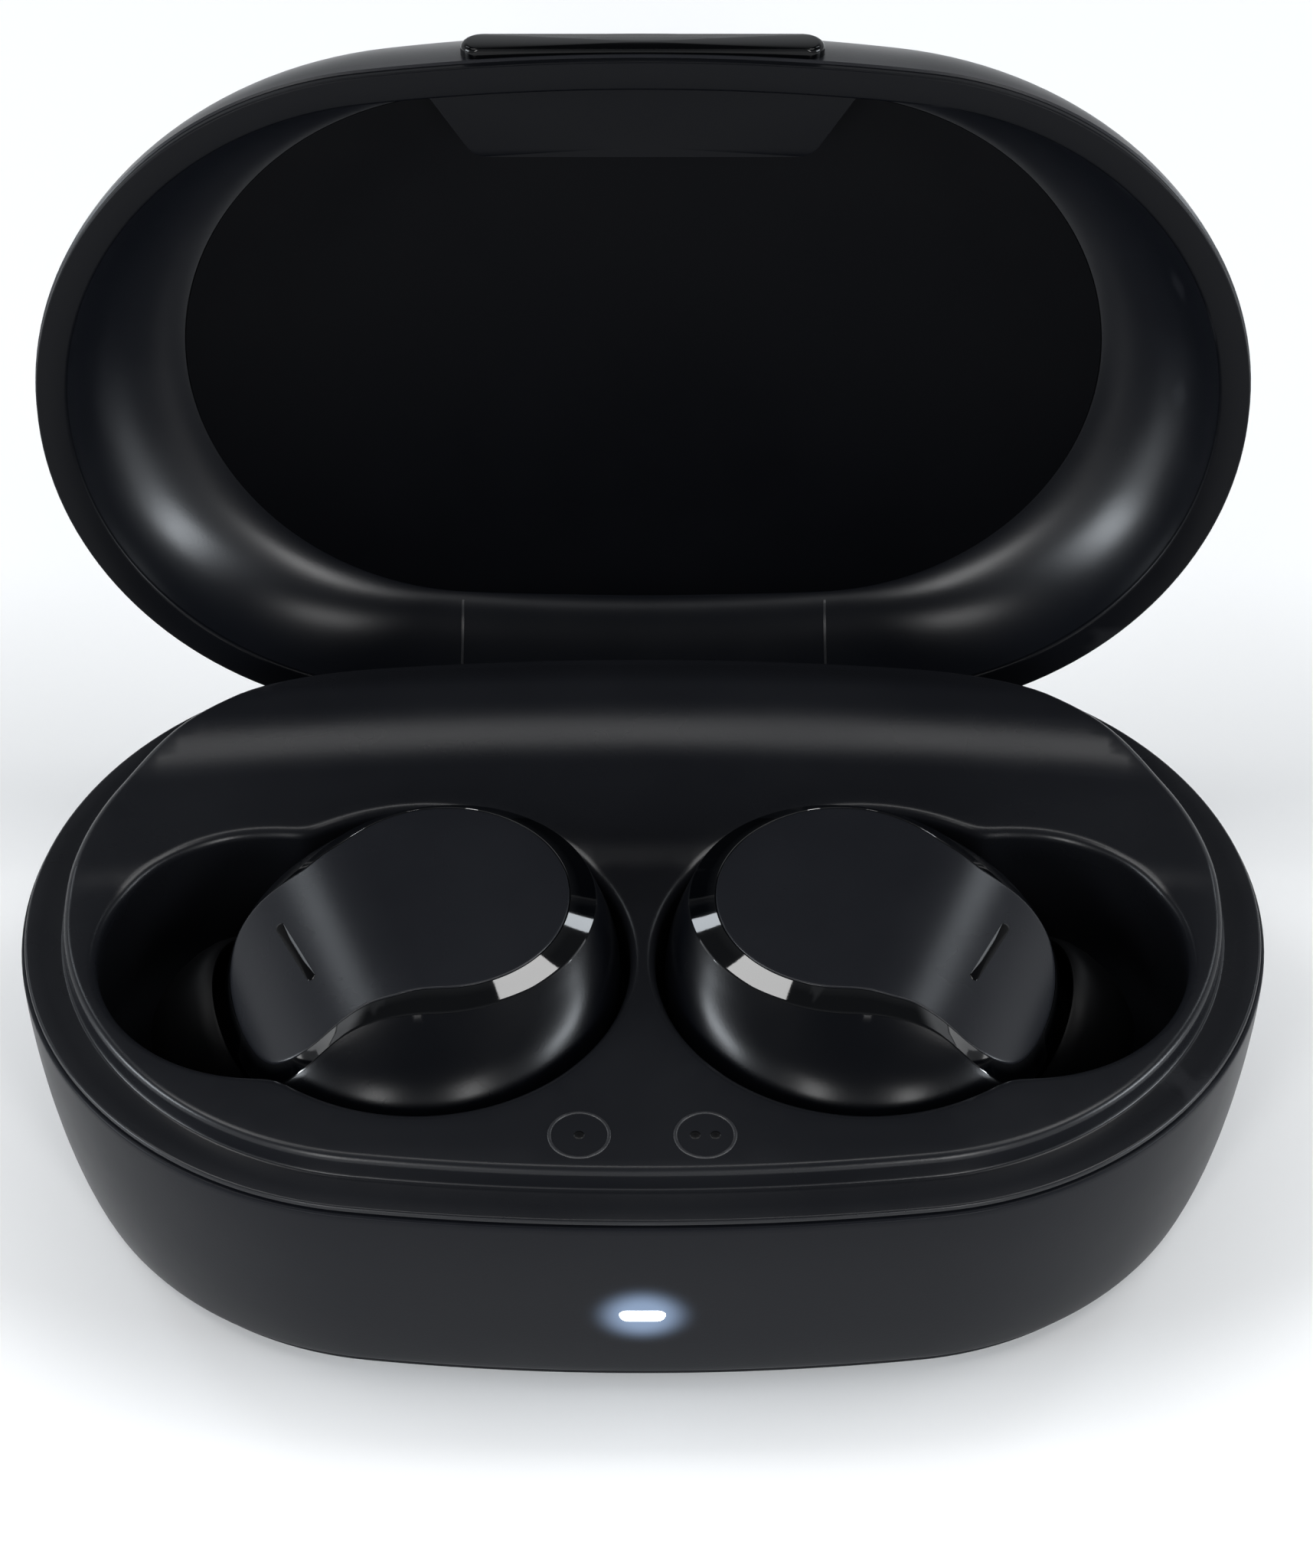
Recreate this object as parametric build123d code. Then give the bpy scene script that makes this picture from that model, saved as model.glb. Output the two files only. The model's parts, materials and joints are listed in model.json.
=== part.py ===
from build123d import *
import math
import os

# Wireless earbuds charging case, lid open, both earbuds in their wells. Millimetres.
# Origin: centre of the underside. +Z up, -Y is the front (lamp side), +Y is the hinge side.

# ---- driving dimensions --------------------------------------------------------------
WIDTH = 64.0            # outer width of the case at its rim
DEPTH = 41.3            # outer depth of the case at its rim
END_RADIUS = 19.9       # radius of the two rounded ends of the rim outline
RIM_Z = 14.75           # height of the base's rim above the table
SHELL_TOP_Z = 14.3      # the outer shell stops here, the tray's flange covers its edge
FOOT_HEIGHT = 0.8       # thickness of the plate that the case stands on
FOOT_INSET = 2.75       # how far the foot plate stands in from the rim outline
SHELL_WALL = 1.4        # wall of the base shell
SHELL_FLOOR_Z = 2.0     # inside floor of the base shell

LID_HEIGHT = 9.0        # lid rim to lid top
LID_TAPER_X = 13.0      # how much each end of the lid draws in towards its top
LID_TAPER_Y = 6.2       # the same, front and back
LID_POWER = 1.9         # fullness of the lid's shoulder
LINER_SKIN = 0.45       # thickness of the lid's inner liner
CEILING_T = 5.9         # depth of the lid's flat ceiling behind its rim
CEILING_X = 24.5        # half width of that ceiling
CEILING_Y = 15.8        # half depth of that ceiling
CEILING_POWER = 1.8     # fullness of the concave wall round the ceiling
BAND_INSET = 1.75       # inner edge of the lid's rim band

LID_OPEN_DEG = 97.7     # the lid stands this far open
HINGE_Y = 18.0          # hinge pin axis
HINGE_Z = RIM_Z - 2.0
PIN_RADIUS = 0.8
PIN_CLEARANCE = 0.04
KNUCKLE_RADIUS = 1.7    # lid knuckle round the pin
BARREL_RADIUS = 1.95    # fixed barrels of the tray round the pin
SWEEP_RADIUS = 3.95     # space that the lid's rear edge turns through
SWEEP_HALF = 13.5       # half width of that space
RELIEF_RADIUS = 1.92    # the rim behind the pin is rolled off to this radius
RELIEF_HALF = 20.9      # half width of the rolled rim
KNUCKLE_HALF = 4.0      # half width of the lid's knuckle
BARREL_START = 7.75     # the fixed barrels run from here
BARREL_END = 13.2       # to here

DECK_Z = RIM_Z + 1.35   # raised deck round the wells
HUMP_Z = RIM_Z + 2.25   # crest of the raised back part of the deck
HUMP_BACK_Z = RIM_Z + 1.4
DECK_INSET = 2.25       # edge of the deck behind the rim outline
DECK_SKIN = 1.2         # thickness of the tray's top skin
FLANGE_INSET = 0.2
FLANGE_Z = RIM_Z - 0.35
SKIRT_Z = 12.2          # the tray's locating skirt reaches down to here

WELL_X, WELL_Y, WELL_R = 11.2, -3.9, 10.55      # round part of each well (x is mirrored)
LOBE_X, LOBE_Y, LOBE_R = 19.4, -3.5, 8.35       # outer lobe, where the ear tip lies
WELL_FLOOR_Z = 5.95
LOBE_FLOOR_Z = 4.3
CUP_WALL = 0.85

FACE_Z = RIM_Z + 4.3    # flat touch face of each earbud
LAYER = 0.6             # thickness of the faceplate and of its trim ring
BEND_RADIUS = 10.5      # the touch face rolls down outwards with this radius
BEND_START = 1.5        # distance from the body's centre where it starts to roll
BEND_X, BEND_Y = 11.0, -3.8
BEND_TURN = 20.4        # the roll's direction, degrees from the X axis
BUD_WALL = 0.9
TRIM_WIDTH = 0.6
#            z above rim, centre x, centre y, radius, outward stretch
BUD_RINGS = ((-8.5, -10.6, -4.2, 4.2, 0.02), (-6.3, -10.7, -4.2, 7.3, 0.02),
             (-3.6, -11.0, -4.2, 9.2, 0.02), (-1.0, -11.1, -4.1, 9.95, 0.15),
             (1.5, -10.55, -3.4, 9.25, 0.4), (3.7, -9.6, -2.35, 7.3, 0.6))
FACE_X, FACE_Y, FACE_R = -10.1, -2.4, 6.4       # edge of the flat part of the touch face
SLOT_X, SLOT_Y, SLOT_LENGTH, SLOT_WIDTH = -17.5, -5.1, 4.6, 0.5
SLOT_SINK = 0.12        # the inlay lies this far under the face
TIP_SPOT = Vector(-21.1, -3.4, 9.1)             # root of the soft ear tip
TIP_AXIS = Vector(-0.80, 0.06, -0.60).normalized()
BORE_RADIUS = 1.4       # sound bore through the nozzle

CLEARANCE = 0.02        # gap between parts that sit against each other
SCREW_SPOTS = ((24.2, 9.2), (19.0, -13.4))
HEAD_RADIUS, SHANK_RADIUS = 1.2, 0.6
POST_RADIUS = 1.3
USB_Z = 4.75            # middle of the charging port
PORT_WIDTH, PORT_HEIGHT = 9.2, 3.42
LED_Z = 7.1             # middle of the status lamp
PIN_SPOTS = ((-12.2, -4.2), (-9.0, -4.2))       # charging contacts of the left earbud
PIN_HOLE = 0.5
MARK_X, MARK_Y, MARK_RADIUS = 3.1, -16.0, 1.6   # round inlays in front of the wells
MARK_DEPTH = 0.35
DOT_RADIUS, DOT_SPREAD = 0.32, 0.55
CELL_Y, CELL_Z, CELL_R = 11.6, 10.4, 4.0        # battery cell, lying along X
CELL_HALF = 19.0
BOARD_Z, BOARD_T = 2.3, 0.8                     # main board
CHIP_Z = BOARD_Z + BOARD_T + CLEARANCE
COIL_RADIUS, WIRE_RADIUS, COIL_PITCH = 1.3, 0.28, 0.62
SHELL_RIM_T = 0.5       # the liner's band covers the shell's edge up to here
COVER_HALF = 10.35      # half width of the hinge cover
COVER_T = 1.6           # the magnet cover lies this far behind the lid's rim
PANEL_T = 0.4           # thickness of the lid's ceiling panel


# ---- outlines ------------------------------------------------------------------------
def oval(half_x, half_y, end_r, z, shift_x=0.0, shift_y=0.0):
    """Four tangent arcs: two shallow ones front and back, two tight ones at the ends."""
    across = half_x - end_r
    down = half_y - end_r
    big_r = (across ** 2 + half_y ** 2 - end_r ** 2) / (2 * down)
    lean = math.hypot(across, big_r - half_y)
    jx = across + end_r * across / lean
    jy = end_r * (big_r - half_y) / lean
    right = ThreePointArc((jx, -jy), (half_x, 0), (jx, jy))
    back = ThreePointArc((jx, jy), (0, half_y), (-jx, jy))
    left = ThreePointArc((-jx, jy), (-half_x, 0), (-jx, -jy))
    front = ThreePointArc((-jx, -jy), (0, -half_y), (jx, -jy))
    face = make_face([right, back, left, front])
    return Pos(shift_x, shift_y, z) * face


def rim_oval(inset, z):
    return oval(WIDTH / 2 - inset, DEPTH / 2 - inset, END_RADIUS - inset, z)


def base_inset(z):
    """Draft of the base's wall: upright at the rim, drawn in towards the underside."""
    depth_down = min(1.0, max(0.0, (RIM_Z - z) / 15.03))
    return 2.86 * (1 - (1 - depth_down ** 1.55) ** (1 / 1.55))


def shoulder(fraction, power):
    return 1 - (1 - fraction ** power) ** (1 / power)


def dome(inset, height, taper_x, taper_y, power, floor=0.0):
    """Rounded cap over the rim outline, its rim at z = floor and its flat top at height."""
    faces = []
    for fraction in (0.0, 0.16, 0.34, 0.54, 0.74, 0.9, 1.0):
        pull = shoulder(fraction, power)
        half_x = WIDTH / 2 - inset - taper_x * pull
        half_y = DEPTH / 2 - inset - taper_y * pull
        slack = (DEPTH / 2 - END_RADIUS) * (1 - 0.5 * pull)
        faces.append(oval(half_x, half_y, half_y - slack, floor + fraction * (height - floor)))
    return loft(faces)


def base_solid(extra, bottom, top):
    """Solid with the base's drafted wall, set in by extra all round."""
    faces = []
    for i in range(5):
        z = bottom + (top - bottom) * i / 4
        faces.append(rim_oval(base_inset(z) + extra, z))
    return loft(faces)


def pill(width, height, length, centre):
    """Stadium bar, long way along X, lying along Y."""
    slot = SlotOverall(width, height)
    bar = extrude(Plane.XZ * slot, length / 2, both=True)
    return Pos(*centre) * bar


def cylinder_x(radius, x0, x1, y, z):
    bar = Rot(0, 90, 0) * Cylinder(radius, x1 - x0)
    return Pos((x0 + x1) / 2, y, z) * bar


def box(x0, x1, y0, y1, z0, z1):
    block = Box(x1 - x0, y1 - y0, z1 - z0)
    return Pos((x0 + x1) / 2, (y0 + y1) / 2, (z0 + z1) / 2) * block


def disc(radius, x, y, z0, z1):
    return Pos(x, y, (z0 + z1) / 2) * Cylinder(radius, z1 - z0)


def both_sides(shape):
    return [shape, mirror(shape, about=Plane.YZ)]


# ---- hinge space ---------------------------------------------------------------------
def sweep_space():
    """Room behind the pin for the lid's rear edge, and a rolled-off rim beside it."""
    ring = cylinder_x(SWEEP_RADIUS, -SWEEP_HALF, SWEEP_HALF, HINGE_Y, HINGE_Z)
    room = ring & box(-20, 20, HINGE_Y - 0.1, HINGE_Y + 10, 0, 30)
    room += cylinder_x(BARREL_RADIUS + 0.1, -SWEEP_HALF, SWEEP_HALF, HINGE_Y, HINGE_Z)
    roll = box(-RELIEF_HALF, RELIEF_HALF, HINGE_Y, HINGE_Y + 10, HINGE_Z, 30)
    roll -= cylinder_x(RELIEF_RADIUS, -RELIEF_HALF - 1, RELIEF_HALF + 1, HINGE_Y, HINGE_Z)
    return room, roll


def arm_space():
    half = KNUCKLE_HALF + 0.3
    return cylinder_x(2.75, -half, half, HINGE_Y, HINGE_Z)


def spring_space():
    half = BARREL_START - 0.05
    return cylinder_x(BARREL_RADIUS + 0.15, -half, half, HINGE_Y, HINGE_Z)


# ---- base ----------------------------------------------------------------------------
def base_shell():
    outer = base_solid(0.0, FOOT_HEIGHT, SHELL_TOP_Z)
    inner = base_solid(SHELL_WALL, SHELL_FLOOR_Z, SHELL_TOP_Z + 1.0)
    shell = outer - inner
    for space in sweep_space():
        shell -= space
    shell -= arm_space()
    shell -= pill(PORT_WIDTH, PORT_HEIGHT, 6.0, (0, 20.0, USB_Z))
    shell -= pill(2.36, 0.86, 6.0, (0, -19.5, LED_Z))
    for x, y in SCREW_SPOTS:
        for side in (-1, 1):
            shell -= disc(SHANK_RADIUS + 0.1, side * x, y, 0, SHELL_FLOOR_Z + 1)
            shell -= disc(HEAD_RADIUS + 0.1, side * x, y, 0, FOOT_HEIGHT + 0.65)
    return shell


def base_foot():
    foot = extrude(rim_oval(FOOT_INSET, 0), FOOT_HEIGHT)
    groove = extrude(rim_oval(FOOT_INSET + 2.0, 0), 0.25)
    groove -= extrude(rim_oval(FOOT_INSET + 2.5, 0), 0.25)
    return foot - groove


def case_screws():
    screws = []
    for x, y in SCREW_SPOTS:
        head = disc(HEAD_RADIUS, x, y, FOOT_HEIGHT + 0.03, FOOT_HEIGHT + 0.63)
        head += disc(SHANK_RADIUS, x, y, FOOT_HEIGHT + 0.6, 6.5)
        arm, half = 0.7, 0.14
        cross = box(x - arm, x + arm, y - half, y + half, 0, FOOT_HEIGHT + 0.3)
        cross += box(x - half, x + half, y - arm, y + arm, 0, FOOT_HEIGHT + 0.3)
        screws += both_sides(head - cross)
    return screws


def deck_block(inset, lower, floor):
    """Block under the deck's surface, which rises to a crest along the back."""
    top = HUMP_Z - lower
    deck = DECK_Z - lower
    back = HUMP_BACK_Z - lower
    outline = Polygon((-30, floor), (-30, deck), (3.4, deck), (11.6, top), (15.2, top - 0.1),
                      (18.6, back), (30, back - 0.3), (30, floor), align=None)
    bends = outline.vertices().filter_by(lambda v: 0 < v.X < 16 and v.Y > floor + 0.1)
    outline = fillet(bends, 3.0)
    profile = Plane.YZ * outline
    return extrude(profile, 40, both=True) & extrude(rim_oval(inset, floor), 30)


def well_space(extra, top):
    """Room for one earbud: a round bowl and a lobe for the ear tip."""
    bowl = disc(WELL_R + extra, -WELL_X, WELL_Y, 10.8, top)
    low = Pos(-10.9, -4.1, WELL_FLOOR_Z - extra) * Circle(5.6 + extra)
    mid = Pos(-11.0, -4.0, 8.0) * Circle(8.7 + extra)
    high = Pos(-WELL_X, WELL_Y, 10.8) * Circle(WELL_R + extra)
    bowl += loft([low, mid], ruled=True)
    bowl += loft([mid, high], ruled=True)
    lobe = disc(LOBE_R + extra, -LOBE_X, LOBE_Y, 9.0, top)
    toe = Pos(-20.4, -3.5, LOBE_FLOOR_Z - extra) * Circle(5.6 + extra)
    heel = Pos(-LOBE_X, LOBE_Y, 9.0) * Circle(LOBE_R + extra)
    lobe += loft([toe, heel], ruled=True)
    return bowl + lobe


def inner_tray():
    skin = deck_block(DECK_INSET, 0.0, SKIRT_Z)
    hollow = deck_block(DECK_INSET + 1.1, DECK_SKIN, SKIRT_Z - 1.0)
    flange = extrude(rim_oval(FLANGE_INSET, FLANGE_Z), RIM_Z - FLANGE_Z)
    flange -= extrude(rim_oval(DECK_INSET + 0.5, FLANGE_Z), RIM_Z - FLANGE_Z)
    for space in sweep_space():
        flange -= space
    lip_edges = skin.edges().filter_by(lambda e: e.center().Z > RIM_Z + 0.9)
    skin = fillet(lip_edges, 0.4)
    tray = skin - hollow
    tray += flange
    for side in (-1, 1):
        x0, x1 = sorted((side * BARREL_START, side * BARREL_END))
        barrel = cylinder_x(BARREL_RADIUS, x0, x1, HINGE_Y, HINGE_Z)
        barrel += box(x0, x1, 16.6, HINGE_Y, HINGE_Z - 1.2, RIM_Z + 0.6)
        tray += barrel
    cups = well_space(CUP_WALL, DECK_Z - 0.2)
    room = well_space(0.0, 30)
    for shape in both_sides(cups):
        tray += shape
    for x, y in SCREW_SPOTS:
        for side in (-1, 1):
            post = disc(POST_RADIUS, side * x, y, SHELL_FLOOR_Z + CLEARANCE, DECK_Z - 0.5)
            tray += post - disc(SHANK_RADIUS + CLEARANCE, side * x, y, 0, 7.0)
    for shape in both_sides(room):
        tray -= shape
    tray -= cylinder_x(PIN_RADIUS + 0.02, -BARREL_END, BARREL_END, HINGE_Y, HINGE_Z)
    tray -= spring_space()
    tray -= arm_space()
    for x, y in PIN_SPOTS:
        for side in (1, -1):
            tray -= disc(PIN_HOLE, side * x, y, 3, 8)
    for side in (-1, 1):
        tray -= disc(MARK_RADIUS + CLEARANCE, side * MARK_X, MARK_Y, DECK_Z - MARK_DEPTH, DECK_Z + 1)
    return tray


def mark_disc(side):
    """Round inlay with a plain dot on one side of the case and two dots on the other."""
    inlay = disc(MARK_RADIUS, side * MARK_X, MARK_Y, DECK_Z - MARK_DEPTH, DECK_Z - CLEARANCE)
    spots = [0.0] if side < 0 else [-DOT_SPREAD, DOT_SPREAD]
    for dx in spots:
        inlay -= disc(DOT_RADIUS, side * MARK_X + dx, MARK_Y, DECK_Z - 0.12, DECK_Z)
    return inlay


def battery_cell():
    can = cylinder_x(CELL_R, -CELL_HALF, CELL_HALF, CELL_Y, CELL_Z)
    crimp = cylinder_x(CELL_R + 1, CELL_HALF - 1.4, CELL_HALF - 1.0, CELL_Y, CELL_Z)
    crimp -= cylinder_x(CELL_R - 0.25, CELL_HALF - 1.4, CELL_HALF - 1.0, CELL_Y, CELL_Z)
    return can - crimp + cylinder_x(1.2, CELL_HALF, CELL_HALF + 0.5, CELL_Y, CELL_Z)


def main_pcb():
    board = extrude(rim_oval(6.0, BOARD_Z), BOARD_T)
    for x, y in SCREW_SPOTS:
        for side in (-1, 1):
            board -= disc(POST_RADIUS + 0.3, side * x, y, 2, 4)
    board -= box(-5.2, 5.2, 12.7, 20, 2, 4)
    return board


def pcb_chips():
    controller = box(-2.2, 2.2, 3.0, 7.0, CHIP_Z, CHIP_Z + 0.78)
    charger = box(-8.5, -5.9, 8.0, 10.4, CHIP_Z, CHIP_Z + 1.08)
    inductor = box(5.5, 8.0, 8.2, 10.2, CHIP_Z, CHIP_Z + 0.88)
    parts = [controller, charger, inductor]
    for x in (-3.0, -1.0, 1.0, 3.0):
        parts.append(box(x - 0.5, x + 0.5, -13.0, -12.5, CHIP_Z, CHIP_Z + 0.48))
    return parts


def usb_c_shell():
    tube = pill(8.94, 3.16, 6.2, (0, 15.9, USB_Z))
    tube -= pill(8.36, 2.6, 6.2, (0, 16.3, USB_Z))
    return tube


def usb_c_tongue():
    return box(-3.35, 3.35, 13.25, 18.3, USB_Z - 0.35, USB_Z + 0.35)


def led_board():
    return box(-4.4, 4.4, -17.7, -17.1, CHIP_Z, 12.1)


def led_light_pipe():
    return pill(2.3, 0.8, 2.2, (0, -18.84, LED_Z))


def hall_sensor():
    return box(-0.9, 0.9, -18.1, -17.72, 10.4, 11.8)


def base_magnets():
    return both_sides(box(5.6, 9.6, -16.9, -15.35, 12.6, 14.6))


def cradle_magnets():
    return both_sides(disc(1.9, -10.9, -0.7, 3.5, 5.05))


def pogo_housings():
    block = box(-12.9, -8.3, -5.5, -2.9, 3.15, 5.05)
    for x, y in PIN_SPOTS:
        block -= disc(PIN_HOLE, x, y, 3.45, 6)
    return both_sides(block)


def pogo_pin(side, number):
    x, y = PIN_SPOTS[number - 1]
    top = WELL_FLOOR_Z + 0.27
    pin = disc(0.45, -side * x, y, 4.1, top)
    return fillet(pin.edges().sort_by(Axis.Z)[-1], 0.15)


def flex_cable():
    return box(-8.2, 8.2, -4.9, -3.5, CHIP_Z, CHIP_Z + 0.12)


def hinge_pin():
    half = BARREL_END - 0.3
    return cylinder_x(PIN_RADIUS, -half, half, HINGE_Y, HINGE_Z)


def hinge_spring():
    """Two torsion springs on the pin, drawn as closed coils."""
    coils = []
    for i in range(5):
        x = KNUCKLE_HALF + 0.75 + COIL_PITCH * i
        turn = Rot(0, 90, 0) * Torus(COIL_RADIUS, WIRE_RADIUS)
        coils += both_sides(Pos(x, HINGE_Y, HINGE_Z) * turn)
    return coils


# ---- lid, made closed and then turned open -------------------------------------------
def raise_lid(shape):
    """The lid's own z = 0 is its rim: set it on the base, then swing it open."""
    hinge = Axis((0, HINGE_Y, HINGE_Z), (1, 0, 0))
    if isinstance(shape, (list, tuple, ShapeList)):
        return [raise_lid(one) for one in shape]
    return (Pos(0, 0, RIM_Z) * shape).rotate(hinge, -LID_OPEN_DEG)


def lid_outer():
    return dome(0.0, LID_HEIGHT, LID_TAPER_X, LID_TAPER_Y, LID_POWER)


def ceiling_cavity(grow=0.0):
    """The lid's hollow; grow gives the surface that lies that much further out."""
    inset = BAND_INSET - (grow + 0.1 if grow else 0)
    return dome(inset, CEILING_T + grow, WIDTH / 2 - inset - CEILING_X - grow,
                DEPTH / 2 - inset - CEILING_Y - grow, CEILING_POWER)


def bracket_pocket():
    half = KNUCKLE_HALF + 0.05
    return box(-half, half, 18.6, 20.25, -1, 0.95)


def lid_shell():
    shell = lid_outer() - ceiling_cavity(LINER_SKIN + 0.05)
    shell -= box(-40, 40, -40, 40, -1, SHELL_RIM_T)
    shell -= thumb_bar(0.02)
    shell -= bracket_pocket()
    return shell


def thumb_bar(extra):
    return pill(18.4 + 2 * extra, 1.7 + 2 * extra, 2.4, (0, -20.0, 1.55))


def thumb_strip():
    bar = thumb_bar(0.0) & dome(-0.25, LID_HEIGHT + 0.3, LID_TAPER_X, LID_TAPER_Y, LID_POWER)
    return bar - dome(0.7, LID_HEIGHT - 0.6, LID_TAPER_X, LID_TAPER_Y, LID_POWER)


def hinge_cover_block(half):
    return box(-half, half, 14.0, 30, 0.9, CEILING_T + 1)


def panel_block(gap):
    outline = oval(CEILING_X - gap, CEILING_Y - gap, CEILING_Y - 0.2 - gap, CEILING_T - 0.05)
    return extrude(outline, PANEL_T - gap)


def lid_liner_full():
    outer = ceiling_cavity(LINER_SKIN) & box(-40, 40, -40, 40, 0.3, 20)
    band = extrude(rim_oval(0.12, CLEARANCE), SHELL_RIM_T - 0.06 - CLEARANCE)
    return outer + band - ceiling_cavity() - panel_block(0.0)


def lid_liner():
    liner = lid_liner_full() - hinge_cover_block(COVER_HALF + 0.08)
    return liner - box(-KNUCKLE_HALF - 0.05, KNUCKLE_HALF + 0.05, 18.6, 30, -1, 0.95)


def lid_hinge_cover():
    return lid_liner_full() & hinge_cover_block(COVER_HALF)


def lid_ceiling_panel():
    return panel_block(0.04)


def trapezoid(front_half, back_half, front_y, back_y, round_r):
    shape = Polygon((-front_half, front_y), (front_half, front_y), (back_half, back_y),
                    (-back_half, back_y), align=None)
    corners = shape.vertices().sort_by(Axis.Y)[-2:]
    return fillet(corners, round_r)


def lid_magnet_cover():
    outline = trapezoid(11.9, 8.7, -19.0, -14.2, 1.2)
    block = Pos(0, 0, COVER_T) * extrude(outline, CEILING_T - 0.1 - COVER_T)
    block -= Pos(0, 0, COVER_T + 0.8) * extrude(trapezoid(10.9, 7.9, -19.5, -15.0, 0.5), 6)
    return block & (Pos(0, CLEARANCE, -CLEARANCE) * ceiling_cavity())


def lid_magnets():
    return both_sides(box(1.0, 7.4, -17.2, -15.4, COVER_T + 0.85, COVER_T + 2.9))


def lid_hinge_bracket():
    """Knuckle on the pin, with an arm up to a plate behind the hinge cover."""
    z = HINGE_Z - RIM_Z
    arm = Polygon((HINGE_Y + 0.8, 0.9), (HINGE_Y + 2.2, 0.9), (HINGE_Y + 2.2, -0.9),
                  (HINGE_Y + 1.2, z - 0.9), (HINGE_Y, z), align=None)
    arm = extrude(Plane.YZ * arm, KNUCKLE_HALF, both=True)
    bracket = arm + cylinder_x(KNUCKLE_RADIUS, -KNUCKLE_HALF, KNUCKLE_HALF, HINGE_Y, z)
    return bracket - cylinder_x(PIN_RADIUS + PIN_CLEARANCE, -5, 5, HINGE_Y, z)


# ---- earbud, made for the left well --------------------------------------------------
def bud_ring(row, shrink, lift=0.0):
    """One cross-section of the body, drawn out a little on the ear tip's side."""
    z, x, y, radius, stretch = row
    turn = math.radians(BEND_TURN)
    outline = Ellipse(radius + stretch - shrink, radius - shrink)
    shift_x = -stretch * math.cos(turn)
    shift_y = -stretch * math.sin(turn)
    return Pos(x + shift_x, y + shift_y, RIM_Z + z + lift) * Rot(0, 0, BEND_TURN) * outline


def bud_outer(shrink=0.0):
    faces = [bud_ring(BUD_RINGS[0], shrink, shrink)]
    faces += [bud_ring(row, shrink) for row in BUD_RINGS[1:]]
    return loft(faces)


def bud_cap(shrink=0.0):
    """Short oblique cone between the body's top ring and the touch face."""
    low = bud_ring(BUD_RINGS[-1], shrink)
    high = Pos(FACE_X, FACE_Y, FACE_Z) * Circle(FACE_R - shrink)
    return loft([low, high], ruled=True)


def below_face(drop):
    """Everything under the touch face, which is flat and then rolls down outwards."""
    axis_z = FACE_Z - BEND_RADIUS
    radius = BEND_RADIUS - drop
    flat = box(-BEND_START, 60, -40, 40, -40, FACE_Z - drop)
    roll = Pos(-BEND_START, 0, axis_z) * Rot(90, 0, 0) * Cylinder(radius, 80)
    under = box(-BEND_START - radius, -BEND_START, -40, 40, -40, axis_z)
    shape = flat + roll + under
    return Pos(-BEND_X, BEND_Y, 0) * Rot(0, 0, BEND_TURN) * shape


def tip_plane(along):
    return Plane(origin=TIP_SPOT + TIP_AXIS * along, z_dir=TIP_AXIS)


def tip_tube(radius, start, end):
    return extrude(tip_plane(start) * Circle(radius), end - start)


def ear_tip():
    """Soft mushroom tip: a domed skirt folded back over a sleeve."""
    outer = Spline((5.05, 0.0), (5.2, 1.4), (4.75, 3.4), (3.6, 5.2), (2.35, 6.0))
    inner = Spline((1.95, 5.4), (3.3, 4.6), (4.3, 3.0), (4.7, 1.3), (4.65, 0.0))
    sleeve_out = Polyline((4.65, 0.0), (5.05, 0.0))
    top = Line((2.35, 6.0), (1.55, 6.0))
    edge = Line((1.55, 6.0), (1.55, 5.4))
    back = Line((1.55, 5.4), (1.95, 5.4))
    section = make_face([outer, top, edge, back, inner, sleeve_out])
    skirt = revolve(Plane.XZ * section, Axis.Z)
    sleeve = Pos(0, 0, 3.3) * (Cylinder(2.85, 4.4) - Cylinder(2.24, 4.4))
    tip = skirt + sleeve
    return tip_plane(-2.6) * tip


def nozzle():
    tube = tip_tube(2.2, -7.0, 2.6) - tip_tube(BORE_RADIUS, -9.0, 3.0)
    return tube - bud_outer()


def nozzle_mesh():
    return tip_tube(BORE_RADIUS - CLEARANCE, 2.2, 2.45)


def left_bud():
    face_layer = (bud_outer() + bud_cap()) & below_face(0.0)
    face_layer -= below_face(LAYER)
    plug = extrude(Pos(FACE_X, FACE_Y, RIM_Z - 4) * Circle(FACE_R), 20)
    inner_region = bud_outer(TRIM_WIDTH) + plug
    body = bud_outer() & below_face(LAYER)
    body -= bud_outer(BUD_WALL)
    body -= tip_tube(BORE_RADIUS, -9.0, 0.0)
    pads = [disc(0.75, x, y, RIM_Z - 8.5, RIM_Z - 8.1) for x, y in PIN_SPOTS]
    for pad in pads:
        body -= pad
    faceplate = face_layer & inner_region
    trim = face_layer - inner_region
    slot_plane = Plane(origin=(SLOT_X, SLOT_Y, FACE_Z), x_dir=(0.43, -0.9, 0), z_dir=(0, 0, 1))
    slot = extrude(slot_plane * SlotOverall(SLOT_LENGTH, SLOT_WIDTH), -6)
    insert = faceplate & slot & below_face(SLOT_SINK)
    faceplate -= slot
    parts = {
        "shell": body,
        "faceplate": faceplate,
        "trim_ring": trim,
        "slot_insert": insert,
        "nozzle": nozzle(),
        "nozzle_mesh": nozzle_mesh(),
        "ear_tip": ear_tip(),
        "driver": tip_tube(2.8, -6.4, -4.4),
        "cell": disc(4.5, -8.5, -3.6, 10.6, 14.6),
        "board": disc(5.4, -9.9, -2.9, 16.0, 16.6),
        "contacts": pads,
        "magnet": disc(1.9, -10.9, -1.2, 7.9, 9.1),
    }
    return parts


# ---- write the parts -----------------------------------------------------------------
def solids_of(shape):
    if isinstance(shape, (list, tuple)) and not isinstance(shape, ShapeList):
        found = []
        for one in shape:
            found += solids_of(one)
        return found
    return list(shape.solids())


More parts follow.
